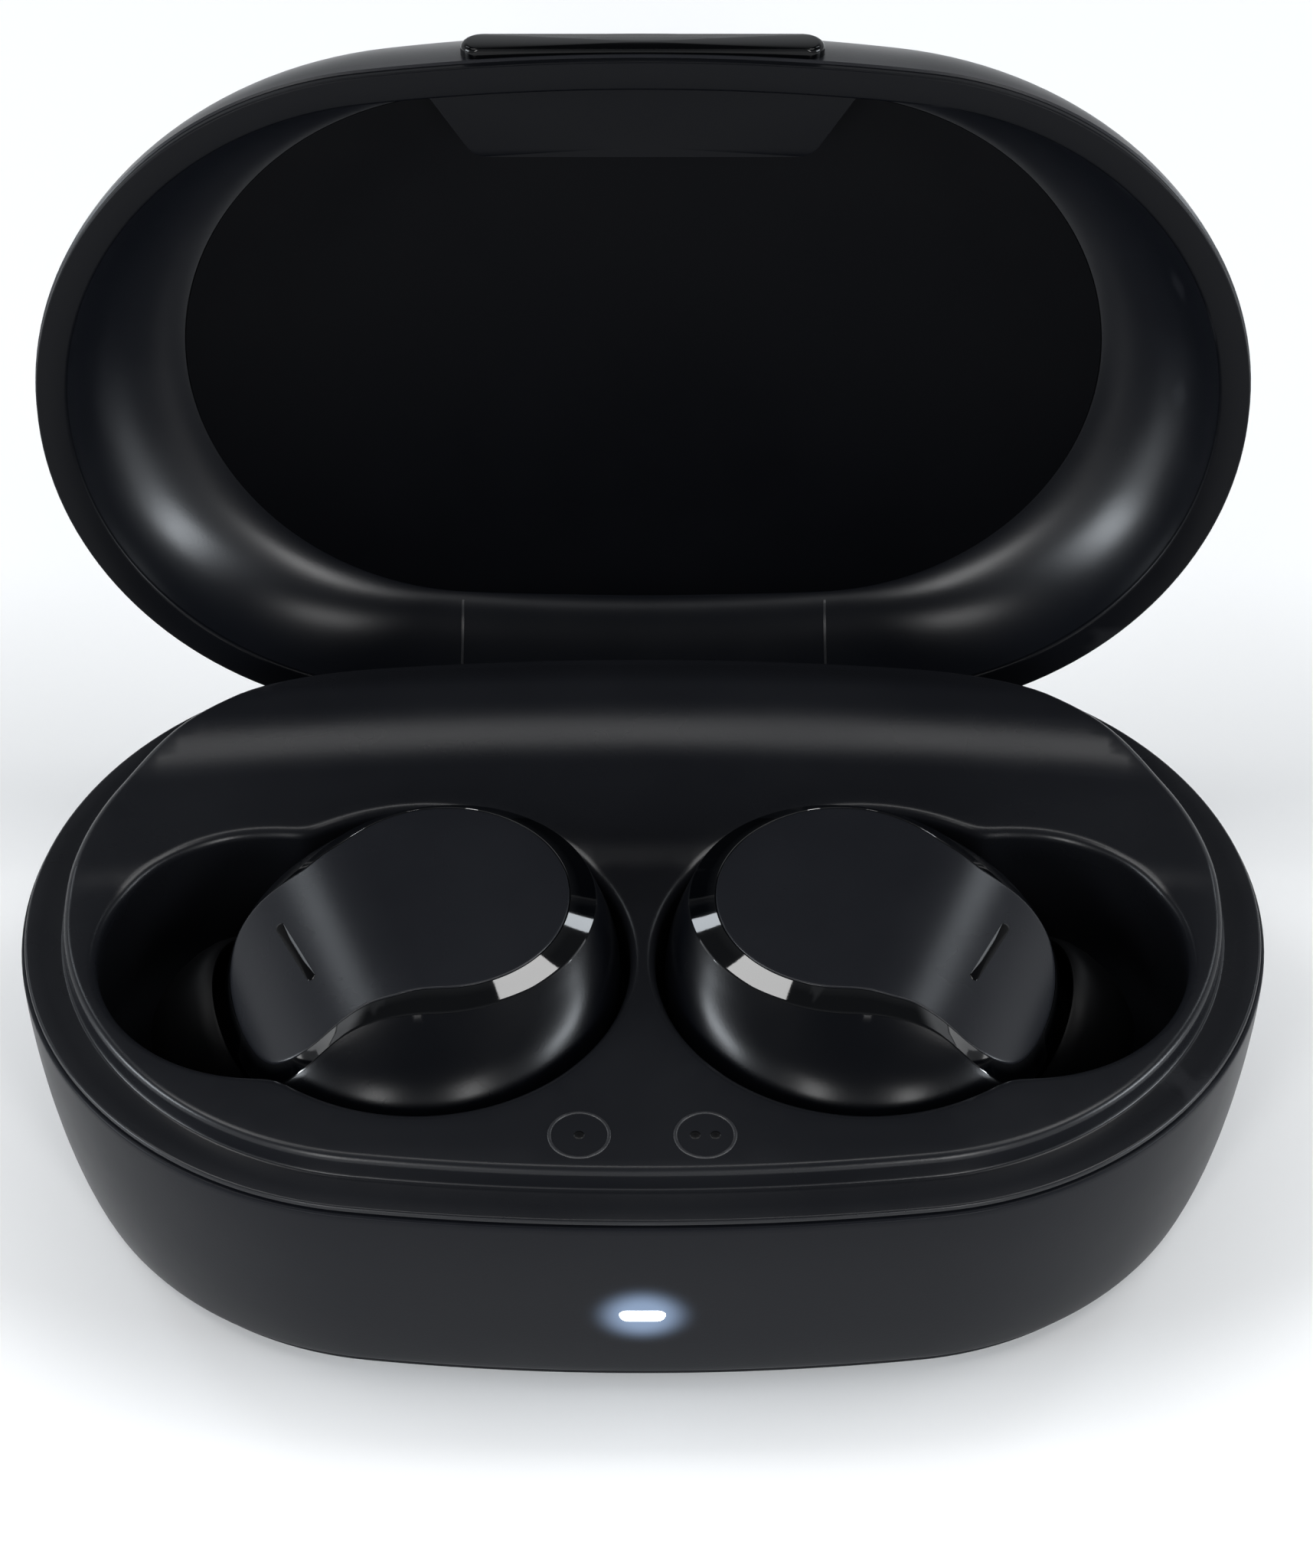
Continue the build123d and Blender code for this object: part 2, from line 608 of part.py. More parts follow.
def write(name, shape):
    solids = solids_of(shape)
    item = solids[0] if len(solids) == 1 else Compound(children=solids)
    export_step(item, "parts/" + name + ".step")
    print(name, len(solids), round(sum(s.volume for s in solids), 2))


def main():
    os.makedirs("parts", exist_ok=True)
    base = {
        "base_shell": base_shell(), "base_foot": base_foot(), "case_screws": case_screws(),
        "inner_tray": inner_tray(), "mark_disc_left": mark_disc(-1),
        "mark_disc_right": mark_disc(1), "battery_cell": battery_cell(),
        "main_pcb": main_pcb(), "pcb_chips": pcb_chips(), "usb_c_shell": usb_c_shell(),
        "usb_c_tongue": usb_c_tongue(), "led_board": led_board(),
        "led_light_pipe": led_light_pipe(), "hall_sensor": hall_sensor(),
        "base_magnets": base_magnets(), "cradle_magnets": cradle_magnets(),
        "pogo_housings": pogo_housings(), "flex_cable": flex_cable(),
        "hinge_pin": hinge_pin(), "hinge_spring": hinge_spring(),
    }
    for name, shape in base.items():
        write(name, shape)
    for side, label in ((-1, "left"), (1, "right")):
        for number in (1, 2):
            write("pogo_pin_" + label + "_" + str(number), pogo_pin(-side, number))
    lid = {
        "lid_shell": lid_shell(), "lid_liner": lid_liner(), "lid_ceiling_panel": lid_ceiling_panel(),
        "lid_hinge_cover": lid_hinge_cover(), "lid_magnet_cover": lid_magnet_cover(),
        "lid_magnets": lid_magnets(), "lid_hinge_bracket": lid_hinge_bracket(),
        "thumb_strip": thumb_strip(),
    }
    for name, shape in lid.items():
        write(name, raise_lid(shape))
    for part, shape in left_bud().items():
        pair = [solids_of(shape), [mirror(one, about=Plane.YZ) for one in solids_of(shape)]]
        for label, solids in zip(("left", "right"), pair):
            write("bud_" + label + "_" + part, solids)


main()
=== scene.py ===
"""Looks for the wireless earbuds charging case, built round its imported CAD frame.

Meshes are worked out in millimetres and turned into metres when an object is made.
The lid is made shut, as if it sat on the base, and then swung to its rest pose.
"""

import json
import math

import bmesh
import bpy
import numpy as np
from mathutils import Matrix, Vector
from mathutils.geometry import delaunay_2d_cdt


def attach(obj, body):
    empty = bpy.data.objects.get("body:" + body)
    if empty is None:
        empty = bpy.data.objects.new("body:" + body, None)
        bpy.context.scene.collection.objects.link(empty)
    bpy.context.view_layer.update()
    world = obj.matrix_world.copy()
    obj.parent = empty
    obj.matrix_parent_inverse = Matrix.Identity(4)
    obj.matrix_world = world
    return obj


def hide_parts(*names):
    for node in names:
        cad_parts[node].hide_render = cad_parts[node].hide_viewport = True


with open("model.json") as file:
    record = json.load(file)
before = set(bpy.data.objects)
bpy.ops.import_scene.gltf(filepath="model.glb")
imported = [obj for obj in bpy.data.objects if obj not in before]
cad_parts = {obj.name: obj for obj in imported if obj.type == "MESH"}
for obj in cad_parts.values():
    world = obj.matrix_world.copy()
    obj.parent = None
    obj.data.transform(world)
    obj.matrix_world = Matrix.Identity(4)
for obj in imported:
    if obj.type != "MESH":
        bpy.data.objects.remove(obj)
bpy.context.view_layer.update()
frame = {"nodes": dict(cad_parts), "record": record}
MM = 0.001

# ---- sizes shared with the design, millimetres ----------------------------------------
HALF_X, HALF_Y, END_R = 32.0, 20.65, 19.9
RIM_Z = 14.75
SIDE_DEPTH, SIDE_TUCK, SIDE_POWER = 15.03, 2.86, 1.55      # how the base's side curves in
SHELL_TOP, SHELL_WALL, SHELL_EDGE = 14.3, 1.4, 0.16
FOOT_TOP, FOOT_INSET, FOOT_ROUND = 0.8, 2.75, 0.5
LAMP_Z, LAMP_LENGTH, LAMP_WIDTH = 7.1, 2.3, 0.8
LAMP_GAP = 0.06
SOCKET_Z, SOCKET_LENGTH, SOCKET_WIDTH = 4.75, 9.2, 3.42
OPENING_Y = 19.5         # openings are cut through the walls at this distance

DECK_Z = RIM_Z + 1.35
DECK_INSET = 2.25
STEP_Z = RIM_Z - 0.03    # the step the shut lid comes down on
# steps of the deck, front to back: middle of the step, its width and its rise
DECK_STEPS = ((3.4, 2.4, 0.26), (12.2, 4.0, 0.76), (17.2, 3.4, -0.9))
DECK_BOW = 0.0023        # the steps lie further forward towards the case's ends
SKIRT_Z, SKIRT_INSET = 12.2, 3.2
FLANGE_Z, FLANGE_INSET = 14.4, 0.26
UNDER_Z = 14.0           # underside of the tray's flat part
CUP_WALL = 0.85
WELL_FLOOR, TOE_FLOOR = 5.95, 4.3
MARK_X, MARK_Y = 3.1, -16.0
DOT_R, DOT_SHIFT = 0.3, 0.5

HINGE_Y, HINGE_Z = 18.0, 12.75
ROOM_R, ROOM_X = 3.95, 13.5        # room in the base for the lid's rear edge
POCKET_R = 2.05                    # seat of the hinge barrels
BARREL_R, BARREL_START, BARREL_END = 1.95, 7.75, 13.2
ROLL_R, ROLL_X = 1.92, 20.9        # the rear edges are rounded about the hinge's axis
FAR = 30.0                         # past the case in every direction that is cut

LID_OPEN = math.radians(97.7)
LID_HEIGHT, LID_TAPER_X, LID_TAPER_Y, LID_POWER = 9.0, 13.0, 6.2, 1.9
LID_LIP = 0.5            # the lid's shell starts this far above the rim
CEILING_T, CEILING_X, CEILING_Y, CEILING_POWER = 5.9, 24.5, 15.8, 1.8
BAND_INSET = 1.75
BAND_SHADE_DEPTH = 0.3         # the rim band takes the darker copy of the liner, painted shade, down to here
COVER_DEPTH = 1.6        # the magnet cover lies this far behind the rim
COVER_FRONT = -16.0      # its edge on the thumb side lies beyond this
COVER_LEAN_X, COVER_LEAN_Y = 0.18, 3.0
SEAM_X, SEAM_START = 10.0, 0.9
STRIP_LENGTH, STRIP_WIDTH, STRIP_DEPTH = 18.4, 1.7, 1.2
STRIP_Z, STRIP_PROUD = 1.55, 0.22

ARC_STEPS_END, ARC_STEPS_LONG = 72, 36
ROUND_STEPS = 4          # facets of a small rounded edge


# ---- outlines -------------------------------------------------------------------------
def oval(half_x, half_y, end_r):
    """Points of a four-arc oval, the same count for every size, so that rings line up."""
    across = half_x - end_r
    down = half_y - end_r
    big_r = (across ** 2 + half_y ** 2 - end_r ** 2) / (2 * down)
    turn = math.atan2(big_r - half_y, across)
    arcs = ((across, 0, end_r, -turn, turn, ARC_STEPS_END),
            (0, half_y - big_r, big_r, turn, math.pi - turn, ARC_STEPS_LONG),
            (-across, 0, end_r, math.pi - turn, math.pi + turn, ARC_STEPS_END),
            (0, big_r - half_y, big_r, math.pi + turn, 2 * math.pi - turn, ARC_STEPS_LONG))
    points = []
    for cx, cy, radius, start, stop, steps in arcs:
        angle = start + (stop - start) * np.arange(steps) / steps
        points.append(np.c_[cx + radius * np.cos(angle), cy + radius * np.sin(angle)])
    return np.concatenate(points)


def rim(inset):
    """The case's outline, drawn in by an inset."""
    return oval(HALF_X - inset, HALF_Y - inset, END_R - inset)


def ring(outline, z):
    """Outline raised to z, which is one height or a height for each point."""
    return np.c_[outline, np.broadcast_to(z, len(outline))]


def quarter(steps=ROUND_STEPS):
    """Quarter turn, as how far each of its points lies inside the two outer edges."""
    for k in range(steps + 1):
        a = math.pi / 2 * k / steps
        yield 1 - math.cos(a), 1 - math.sin(a)


def shoulder(fraction, power):
    return 1 - (1 - fraction ** power) ** (1 / power)


def base_inset(z):
    depth = min(1.0, max(0.0, (RIM_Z - z) / SIDE_DEPTH))
    return SIDE_TUCK * shoulder(depth, SIDE_POWER)


def dome_ring(inset, height, taper_x, taper_y, power, fraction):
    """Level outline of a flat-topped dome, at a fraction of its height."""
    pull = shoulder(fraction, power)
    half_y = HALF_Y - inset - taper_y * pull
    slack = (HALF_Y - END_R) * (1 - 0.5 * pull)
    outline = oval(HALF_X - inset - taper_x * pull, half_y, half_y - slack)
    return ring(outline, fraction * height)


def deck_height(x, y):
    """Height of the tray's top: flat round the wells, then a terrace and a crest at the back."""
    height = DECK_Z
    for middle, width, rise in DECK_STEPS:
        t = np.clip((y + DECK_BOW * x * x - middle) / width + 0.5, 0, 1)
        height = height + rise * t * t * (3 - 2 * t)
    return height


# ---- mesh helpers ---------------------------------------------------------------------
class Build:
    """Collects vertices and faces, in millimetres."""

    def __init__(self):
        self.verts = []
        self.faces = []
        self.count = 0

    def add(self, points):
        points = np.asarray(points, float)
        self.verts.append(points)
        first = self.count
        self.count += len(points)
        return list(range(first, self.count))

    def strip(self, rings, closed=False):
        """Quads between rings of equal length; closed joins the last to the first."""
        index = [self.add(r) for r in rings]
        if closed:
            index.append(index[0])
        for a, b in zip(index, index[1:]):
            n = len(a)
            self.faces += [(a[i], a[(i + 1) % n], b[(i + 1) % n], b[i]) for i in range(n)]
        return index

    def cap(self, loop):
        """Closes a loop with a fan round its middle."""
        points = np.concatenate(self.verts)[loop]
        middle = self.add([points.mean(0)])[0]
        n = len(loop)
        self.faces += [(loop[i], loop[(i + 1) % n], middle) for i in range(n)]

    def solid(self, rings):
        """Rings joined and closed at both ends."""
        index = self.strip(rings)
        self.cap(index[0])
        self.cap(index[-1])

    def plate(self, outline, holes, height, extra=()):
        """Fills the area between loops of vertices with triangles at height(x, y)."""
        all_points = np.concatenate(self.verts)
        loops = [list(outline)] + [list(h) for h in holes]
        ids = [i for loop in loops for i in loop]
        flat = [Vector(all_points[i][:2]) for i in ids]
        flat += [Vector(p) for p in extra]
        edges = []
        start = 0
        for loop in loops:
            n = len(loop)
            edges += [(start + i, start + (i + 1) % n) for i in range(n)]
            start += n
        out, _, tris, origin, _, _ = delaunay_2d_cdt(flat, edges, [], 0, 1e-7)
        remap = []
        added = []
        for point, source in zip(out, origin):
            if source and source[0] < len(ids):
                remap.append(ids[source[0]])
            else:
                remap.append(self.count + len(added))
                added.append((point.x, point.y, float(height(point.x, point.y))))
        if added:
            self.add(added)
        hole_paths = [all_points[list(h)][:, :2] for h in holes]
        outer_path = all_points[list(outline)][:, :2]
        for tri in tris:
            middle = sum((out[i] for i in tri), Vector((0, 0))) / len(tri)
            if inside(middle, outer_path) and not any(inside(middle, h) for h in hole_paths):
                self.faces.append(tuple(remap[i] for i in tri))


def inside(point, path):
    """Whether a point lies within a closed path."""
    x, y = path[:, 0], path[:, 1]
    x2, y2 = np.roll(x, -1), np.roll(y, -1)
    crosses = (y > point[1]) != (y2 > point[1])
    with np.errstate(divide="ignore", invalid="ignore"):
        cut = (x2 - x) * (point[1] - y) / (y2 - y) + x
    return bool(np.count_nonzero(crosses & (point[0] < cut)) % 2)


def swing_open(points):
    """Closed-lid coordinates, with z = 0 at its rim, to where the lid is at rest."""
    p = np.array(points, float)
    dy = p[:, 1] - HINGE_Y
    dz = p[:, 2] + RIM_Z - HINGE_Z
    c, s = math.cos(LID_OPEN), math.sin(LID_OPEN)
    return np.c_[p[:, 0], HINGE_Y + c * dy + s * dz, HINGE_Z - s * dy + c * dz]


def make(name, build, materials, lid=False, flip_x=False, sharp=38.0):
    """Turns collected faces into an object with outward faces and smooth shading."""
    points = np.concatenate(build.verts)
    if flip_x:
        points = points * (-1, 1, 1)
    if lid:
        points = swing_open(points)
    mesh = bpy.data.meshes.new(name)
    mesh.from_pydata((points * MM).tolist(), [], build.faces)
    bm = bmesh.new()
    bm.from_mesh(mesh)
    bmesh.ops.remove_doubles(bm, verts=bm.verts, dist=2e-7)
    loose = [v for v in bm.verts if not v.link_faces]
    bmesh.ops.delete(bm, geom=loose, context="VERTS")
    bmesh.ops.recalc_face_normals(bm, faces=bm.faces)
    bm.to_mesh(mesh)
    bm.free()
    obj = bpy.data.objects.new(name, mesh)
    bpy.context.scene.collection.objects.link(obj)
    for material in materials:
        mesh.materials.append(material)
    smooth(obj, sharp)
    return obj


def smooth(obj, angle=38.0):
    mesh = obj.data
    mesh.polygons.foreach_set("use_smooth", [True] * len(mesh.polygons))
    mesh.set_sharp_from_angle(angle=math.radians(angle))


def carve(obj, cutter_build):
    """Cuts a closed build out of an object."""
    cutter = make("cutter", cutter_build, [])
    cut_away(obj, cutter)


def cut_away(obj, cutter):
    """Cuts a helper object out of another, and removes the helper."""
    modifier = obj.modifiers.new("carve", "BOOLEAN")
    modifier.object = cutter
    modifier.operation = "DIFFERENCE"
    modifier.solver = "EXACT"
    depsgraph = bpy.context.evaluated_depsgraph_get()
    result = bpy.data.meshes.new_from_object(obj.evaluated_get(depsgraph))
    obj.modifiers.clear()
    obj.data = result
    bpy.data.objects.remove(cutter)
    smooth(obj)


def prism(outline, z0, z1, bevel=0.0, steps=3):
    """Closed prism over a convex-ish outline, with rounded top and bottom edges."""
    build = Build()
    centre = outline.mean(0)
    rings = []
    for side, z_edge in ((-1, z0), (1, z1)):
        for k in range(steps + 1):
            a = math.pi / 2 * (k / steps)
            if side < 0:
                a = math.pi / 2 - a
            pull = bevel * (1 - math.cos(a))
            direction = outline - centre
            length = np.linalg.norm(direction, axis=1, keepdims=True)
            shape = centre + direction * (1 - pull / length)
            rings.append(ring(shape, z_edge - side * bevel * (1 - math.sin(a))))
    build.solid(rings)
    return build


def pill_outline(length, width, steps=16):
    """Long round-ended outline along the first axis."""
    r = width / 2
    angles = np.linspace(-math.pi / 2, math.pi / 2, steps + 1)
    right = np.c_[length / 2 - r + r * np.cos(angles), r * np.sin(angles)]
    return np.concatenate([right, -right])


def cylinder_x(radius, x0, x1, y, z, bevel=0.12, steps=48):
    """Closed bar along X with chamfered ends."""
    build = Build()
    angles = np.linspace(0, 2 * math.pi, steps, endpoint=False)
    profile = ((x0, radius - bevel), (x0 + bevel, radius), (x1 - bevel, radius), (x1, radius - bevel))
    rings = [np.c_[np.full(steps, x), y + r * np.cos(angles), z + r * np.sin(angles)]
             for x, r in profile]
    build.solid(rings)
    return build


def block(x0, x1, y0, y1, z0, z1):
    build = Build()
    low = build.add([(x0, y0, z0), (x1, y0, z0), (x1, y1, z0), (x0, y1, z0)])
    high = build.add([(x0, y0, z1), (x1, y0, z1), (x1, y1, z1), (x0, y1, z1)])
    build.faces += [tuple(reversed(low)), tuple(high)]
    build.faces += [(low[i], low[(i + 1) % 4], high[(i + 1) % 4], high[i]) for i in range(4)]
    return build


def merge(target, other):
    """Adds another set of faces to a build, as separate loose geometry."""
    shift = target.count
    for points in other.verts:
        target.add(points)
    target.faces += [tuple(i + shift for i in face) for face in other.faces]


# ---- materials, in metres -------------------------------------------------------------
GRAIN_DEPTH = 0.000012
MOTTLING = 0.12          # share by which the gloss varies over a surface


def node(tree, kind, **values):
    """New shader node, with its sockets or settings filled in by name."""
    item = tree.nodes.new(kind)
    for key, value in values.items():
        if key in item.inputs:
            item.inputs[key].default_value = value
        else:
            setattr(item, key, value)
    return item


def remap(tree, source, low, high, to_low, to_high, curve="LINEAR"):
    """Maps low..high of a value to to_low..to_high."""
    item = node(tree, "ShaderNodeMapRange", interpolation_type=curve)
    item.inputs["From Min"].default_value = low
    item.inputs["From Max"].default_value = high
    item.inputs["To Min"].default_value = to_low
    item.inputs["To Max"].default_value = to_high
    tree.links.new(source, item.inputs["Value"])
    return item.outputs["Result"]


def principled(material):
    return next(n for n in material.node_tree.nodes if n.type == "BSDF_PRINCIPLED")


def plastic(name, colour, rough, grain=0.25, grain_size=0.00016, wear=0.35, metallic=0.0,
            specular=0.5):
    """Moulded surface: fine texture in the bump, uneven gloss, and lighter rubbed edges."""
    material = bpy.data.materials.new(name)
    material.use_nodes = True
    tree = material.node_tree
    tree.nodes.clear()
    out = node(tree, "ShaderNodeOutputMaterial")
    shader = node(tree, "ShaderNodeBsdfPrincipled")
    shader.inputs["Metallic"].default_value = metallic
    shader.inputs["Specular IOR Level"].default_value = specular
    tree.links.new(shader.outputs[0], out.inputs[0])
    place = node(tree, "ShaderNodeTexCoord")
    fine = node(tree, "ShaderNodeTexNoise", Scale=1 / grain_size, Detail=3.0, Roughness=0.6)
    broad = node(tree, "ShaderNodeTexNoise", Scale=95.0, Detail=4.0, Roughness=0.55)
    for texture in (fine, broad):
        tree.links.new(place.outputs["Object"], texture.inputs["Vector"])
    bump = node(tree, "ShaderNodeBump", Strength=grain, Distance=GRAIN_DEPTH)
    tree.links.new(fine.outputs["Fac"], bump.inputs["Height"])
    tree.links.new(bump.outputs["Normal"], shader.inputs["Normal"])
    gloss = remap(tree, broad.outputs["Fac"], 0.3, 0.7, rough * (1 - MOTTLING),
                  min(1.0, rough * (1 + MOTTLING)))
    tree.links.new(gloss, shader.inputs["Roughness"])
    shape = node(tree, "ShaderNodeNewGeometry")
    edge = remap(tree, shape.outputs["Pointiness"], 0.53, 0.62, 0.0, wear)
    tint = node(tree, "ShaderNodeMix", data_type="RGBA")
    tint.inputs["A"].default_value = (*colour, 1)
    tint.inputs["B"].default_value = (*[min(1, c * 1.9 + 0.012) for c in colour], 1)
    tree.links.new(edge, tint.inputs["Factor"])
    shade = node(tree, "ShaderNodeMix", data_type="RGBA", blend_type="MULTIPLY")
    shade.inputs["Factor"].default_value = 0.25
    tree.links.new(tint.outputs["Result"], shade.inputs["A"])
    tone = remap(tree, broad.outputs["Fac"], 0.35, 0.65, 0.75, 1.15)
    tree.links.new(tone, shade.inputs["B"])
    tree.links.new(shade.outputs["Result"], shader.inputs["Base Color"])
    return material


def paint_lamp_halo(material, spot, reach, strength, colour):
    """Painted halo of the lamp's light: emission on the plastic round the lamp that fades with
    distance.
    """
    tree = material.node_tree
    shader = principled(material)
    place = node(tree, "ShaderNodeTexCoord")
    gap = node(tree, "ShaderNodeVectorMath", operation="DISTANCE")
    gap.inputs[1].default_value = spot
    tree.links.new(place.outputs["Object"], gap.inputs[0])
    fade = remap(tree, gap.outputs["Value"], 0.0006, reach, 1.0, 0.0, "SMOOTHERSTEP")
    power = node(tree, "ShaderNodeMath", operation="POWER")
    power.inputs[1].default_value = 2.2
    tree.links.new(fade, power.inputs[0])
    scale = node(tree, "ShaderNodeMath", operation="MULTIPLY")
    scale.inputs[1].default_value = strength
    tree.links.new(power.outputs[0], scale.inputs[0])
    tree.links.new(scale.outputs[0], shader.inputs["Emission Strength"])
    shader.inputs["Emission Color"].default_value = (*colour, 1)


CASE = plastic("case_satin", (0.0050, 0.0056, 0.0076), 0.34, specular=0.09)
SHELL = plastic("lid_shell_satin", (0.0055, 0.0060, 0.0080), 0.34, specular=0.30)
LEDGE = plastic("tray_satin", (0.0062, 0.0067, 0.0084), 0.28, specular=0.30)
PANEL = plastic("panel_matte", (0.0012, 0.0014, 0.0021), 0.60, grain=0.5, wear=0.0, specular=0.05)
LINER = plastic("liner_satin", (0.0034, 0.0040, 0.0058), 0.30, specular=0.36)
# darker, less glossy copy of the liner: painted shade on the lid's rim band and on the magnet cover
LINER_SHADE = plastic("liner_painted_shade", (0.0022, 0.0025, 0.0035), 0.34, specular=0.10)
FOOT = plastic("foot_matte", (0.0045, 0.0050, 0.0065), 0.6, grain=0.45, specular=0.2)
# lighter colour of the marking discs, also used on the hinge cover seams as a painted highlight
MARK_AND_SEAM_HIGHLIGHT = plastic("mark_and_seam_highlight_satin", (0.0190, 0.0195, 0.0215), 0.30, specular=0.45)
MARK_DOT = plastic("mark_dot_dark", (0.0008, 0.0008, 0.0010), 0.3, grain=0.1, specular=0.2)
STRIP = plastic("strip_gloss", (0.0008, 0.0009, 0.0012), 0.08, grain=0.04, wear=0.5,
                specular=0.2)
BUD = plastic("bud_satin", (0.0016, 0.0019, 0.0028), 0.27, grain_size=0.00012, specular=0.22)
FACE = plastic("bud_face_satin", (0.0082, 0.0088, 0.0110), 0.27, grain_size=0.00012, wear=0.0,
               specular=0.30)
TRIM = plastic("trim_polished", (0.0006, 0.0008, 0.0012), 0.04, grain=0.02, wear=0.6,
               specular=1.0)
SLOT = plastic("slot_gloss", (0.0008, 0.0008, 0.0010), 0.12, grain=0.05, specular=0.25)
SILICONE = plastic("silicone_soft", (0.0008, 0.0009, 0.0012), 0.5, grain=0.3, wear=0.1,
                   specular=0.12)
STEEL = plastic("steel_brushed", (0.42, 0.42, 0.44), 0.3, grain=0.5, grain_size=0.0004,
                metallic=1.0)
GOLD = plastic("contact_gold", (0.7, 0.48, 0.2), 0.22, metallic=1.0, grain=0.15)
CAN = plastic("cell_can", (0.5, 0.51, 0.53), 0.35, metallic=1.0, grain=0.4, grain_size=0.0005)
BOARD = plastic("board_green", (0.012, 0.05, 0.024), 0.4, grain=0.6, grain_size=0.0006)
CHIP = plastic("chip_black", (0.01, 0.01, 0.011), 0.5)
FLEX = plastic("flex_amber", (0.28, 0.12, 0.02), 0.35, grain=0.3)
LAMP = plastic("lamp_diffuser", (0.85, 0.93, 1.0), 0.3, grain=0.1)
LED_SPOT = (0.0, -0.0199, LAMP_Z * MM)
lamp_shader = principled(LAMP)
lamp_shader.inputs["Emission Color"].default_value = (0.86, 0.95, 1.0, 1)
lamp_shader.inputs["Emission Strength"].default_value = 6.0
# painted halo: the case plastic round the lamp emits a bluish light that fades with distance
paint_lamp_halo(CASE, LED_SPOT, 0.0036, 0.5, (0.5, 0.68, 1.0))


# ---- base -----------------------------------------------------------------------------
def opening(length, width, y, z):
    """Pill-shaped plug that stands through the front or rear wall."""
    plug = prism(pill_outline(length, width), -3.0, 3.0)
    plug.verts = [p[:, [0, 2, 1]] + (0, y, z) for p in plug.verts]
    return plug


def base_body():
    build = Build()
    rings = [ring(rim(base_inset(SHELL_TOP) + SHELL_WALL), SHELL_TOP)]
    for out, down in quarter():
        z = SHELL_TOP - SHELL_EDGE * out
        rings.append(ring(rim(base_inset(z) + SHELL_EDGE * down), z))
    for z in np.linspace(SHELL_TOP - SHELL_EDGE - 0.3, FOOT_TOP + FOOT_ROUND, 34):
        rings.append(ring(rim(base_inset(z)), z))
    for out, down in list(quarter(6))[1:]:
        z = FOOT_TOP + FOOT_ROUND * down
        rings.append(ring(rim(base_inset(z) + FOOT_ROUND * out), z))
    inner = [rings[0]]
    for z in np.linspace(SHELL_TOP - 1, 2.0, 10):
        inner.append(ring(rim(base_inset(z) + SHELL_WALL), z))
    build.cap(build.strip(rings)[-1])
    build.cap(build.strip(inner)[-1])
    obj = make("base_body", build, [CASE])
    cut_hinge_room(obj)
    carve(obj, opening(LAMP_LENGTH + LAMP_GAP, LAMP_WIDTH + LAMP_GAP, -OPENING_Y, LAMP_Z))
    carve(obj, opening(SOCKET_LENGTH, SOCKET_WIDTH, OPENING_Y, SOCKET_Z))
    return obj


def round_rear(obj, low, high):
    """Rounds the rear edge between two heights about the hinge's axis."""
    roll = make("roll", block(-ROLL_X, ROLL_X, HINGE_Y, FAR, low, high), [])
    carve(roll, cylinder_x(ROLL_R, -22, 22, HINGE_Y, HINGE_Z, 0.0, 128))
    cut_away(obj, roll)


def cut_hinge_room(obj):
    room = make("room", cylinder_x(ROOM_R, -ROOM_X, ROOM_X, HINGE_Y, HINGE_Z, 0.0, 128), [])
    carve(room, block(-20, 20, 0, HINGE_Y - 0.1, 0, FAR))
    cut_away(obj, room)
    carve(obj, cylinder_x(POCKET_R, -ROOM_X, ROOM_X, HINGE_Y, HINGE_Z, 0.0, 96))
    round_rear(obj, HINGE_Z, FAR)


def foot():
    """Plate with a rounded edge and a groove just inside it."""
    profile = ((1.2, FOOT_TOP - 0.02), (0.1, FOOT_TOP - 0.02), (0.0, FOOT_TOP - 0.12), (0.0, 0.18),
               (0.05, 0.06), (0.18, 0.0), (1.95, 0.0), (2.02, 0.06), (2.02, 0.22), (2.48, 0.22),
               (2.48, 0.06), (2.55, 0.0))
    build = Build()
    build.solid([ring(rim(FOOT_INSET + inset), z) for inset, z in profile])
    return make("foot_plate", build, [FOOT])


# ---- tray -----------------------------------------------------------------------------
# circles of the left well, for the earbud and for its tip: height, centre x, centre y, radius
WELL_A = ((10.8, -11.2, -3.9, 10.55), (8.0, -11.0, -4.0, 8.7), (WELL_FLOOR, -10.9, -4.1, 5.6))
WELL_B = ((9.0, -19.4, -3.5, 8.35), (TOE_FLOOR, -20.4, -3.5, 5.6))
WELL_MIDDLE = np.array((-13.9, -3.8))
WELL_STEPS, TOE_STEPS = 240, 96
CORNER_EASE = 0.35       # rounds the two corners where the circles of a well meet


def circle_at(table, z):
    """Centre and radius of a well's circle at height z; it is upright above its first row."""
    heights = [row[0] for row in table][::-1]
    return [float(np.interp(z, heights, [row[k] for row in table][::-1])) for k in (1, 2, 3)]


def reach(middle, direction, cx, cy, radius):
    """Distance from a middle to a circle round it, in each direction."""
    offset = np.array((cx, cy)) - middle
    along = direction @ offset
    return along + np.sqrt(np.maximum(radius ** 2 - offset @ offset + along ** 2, 0))


def well_outline(z, grow):
    """Edge of the two joined circles of a well, with the corners between them eased."""
    angles = np.linspace(0, 2 * math.pi, WELL_STEPS, endpoint=False)
    direction = np.c_[np.cos(angles), np.sin(angles)]
    spans = []
    for table in (WELL_A, WELL_B):
        cx, cy, radius = circle_at(table, z)
        spans.append(reach(WELL_MIDDLE, direction, cx, cy, radius + grow))
    far, near = spans
    joined = 0.5 * (far + near + np.sqrt((far - near) ** 2 + CORNER_EASE))
    return WELL_MIDDLE + direction * joined[:, None]


def flipped(rings, flip):
    """Rings of the left well as they are, or turned into the right well's."""
    return [r[::-1] * (-1, 1, 1) for r in rings] if flip else rings


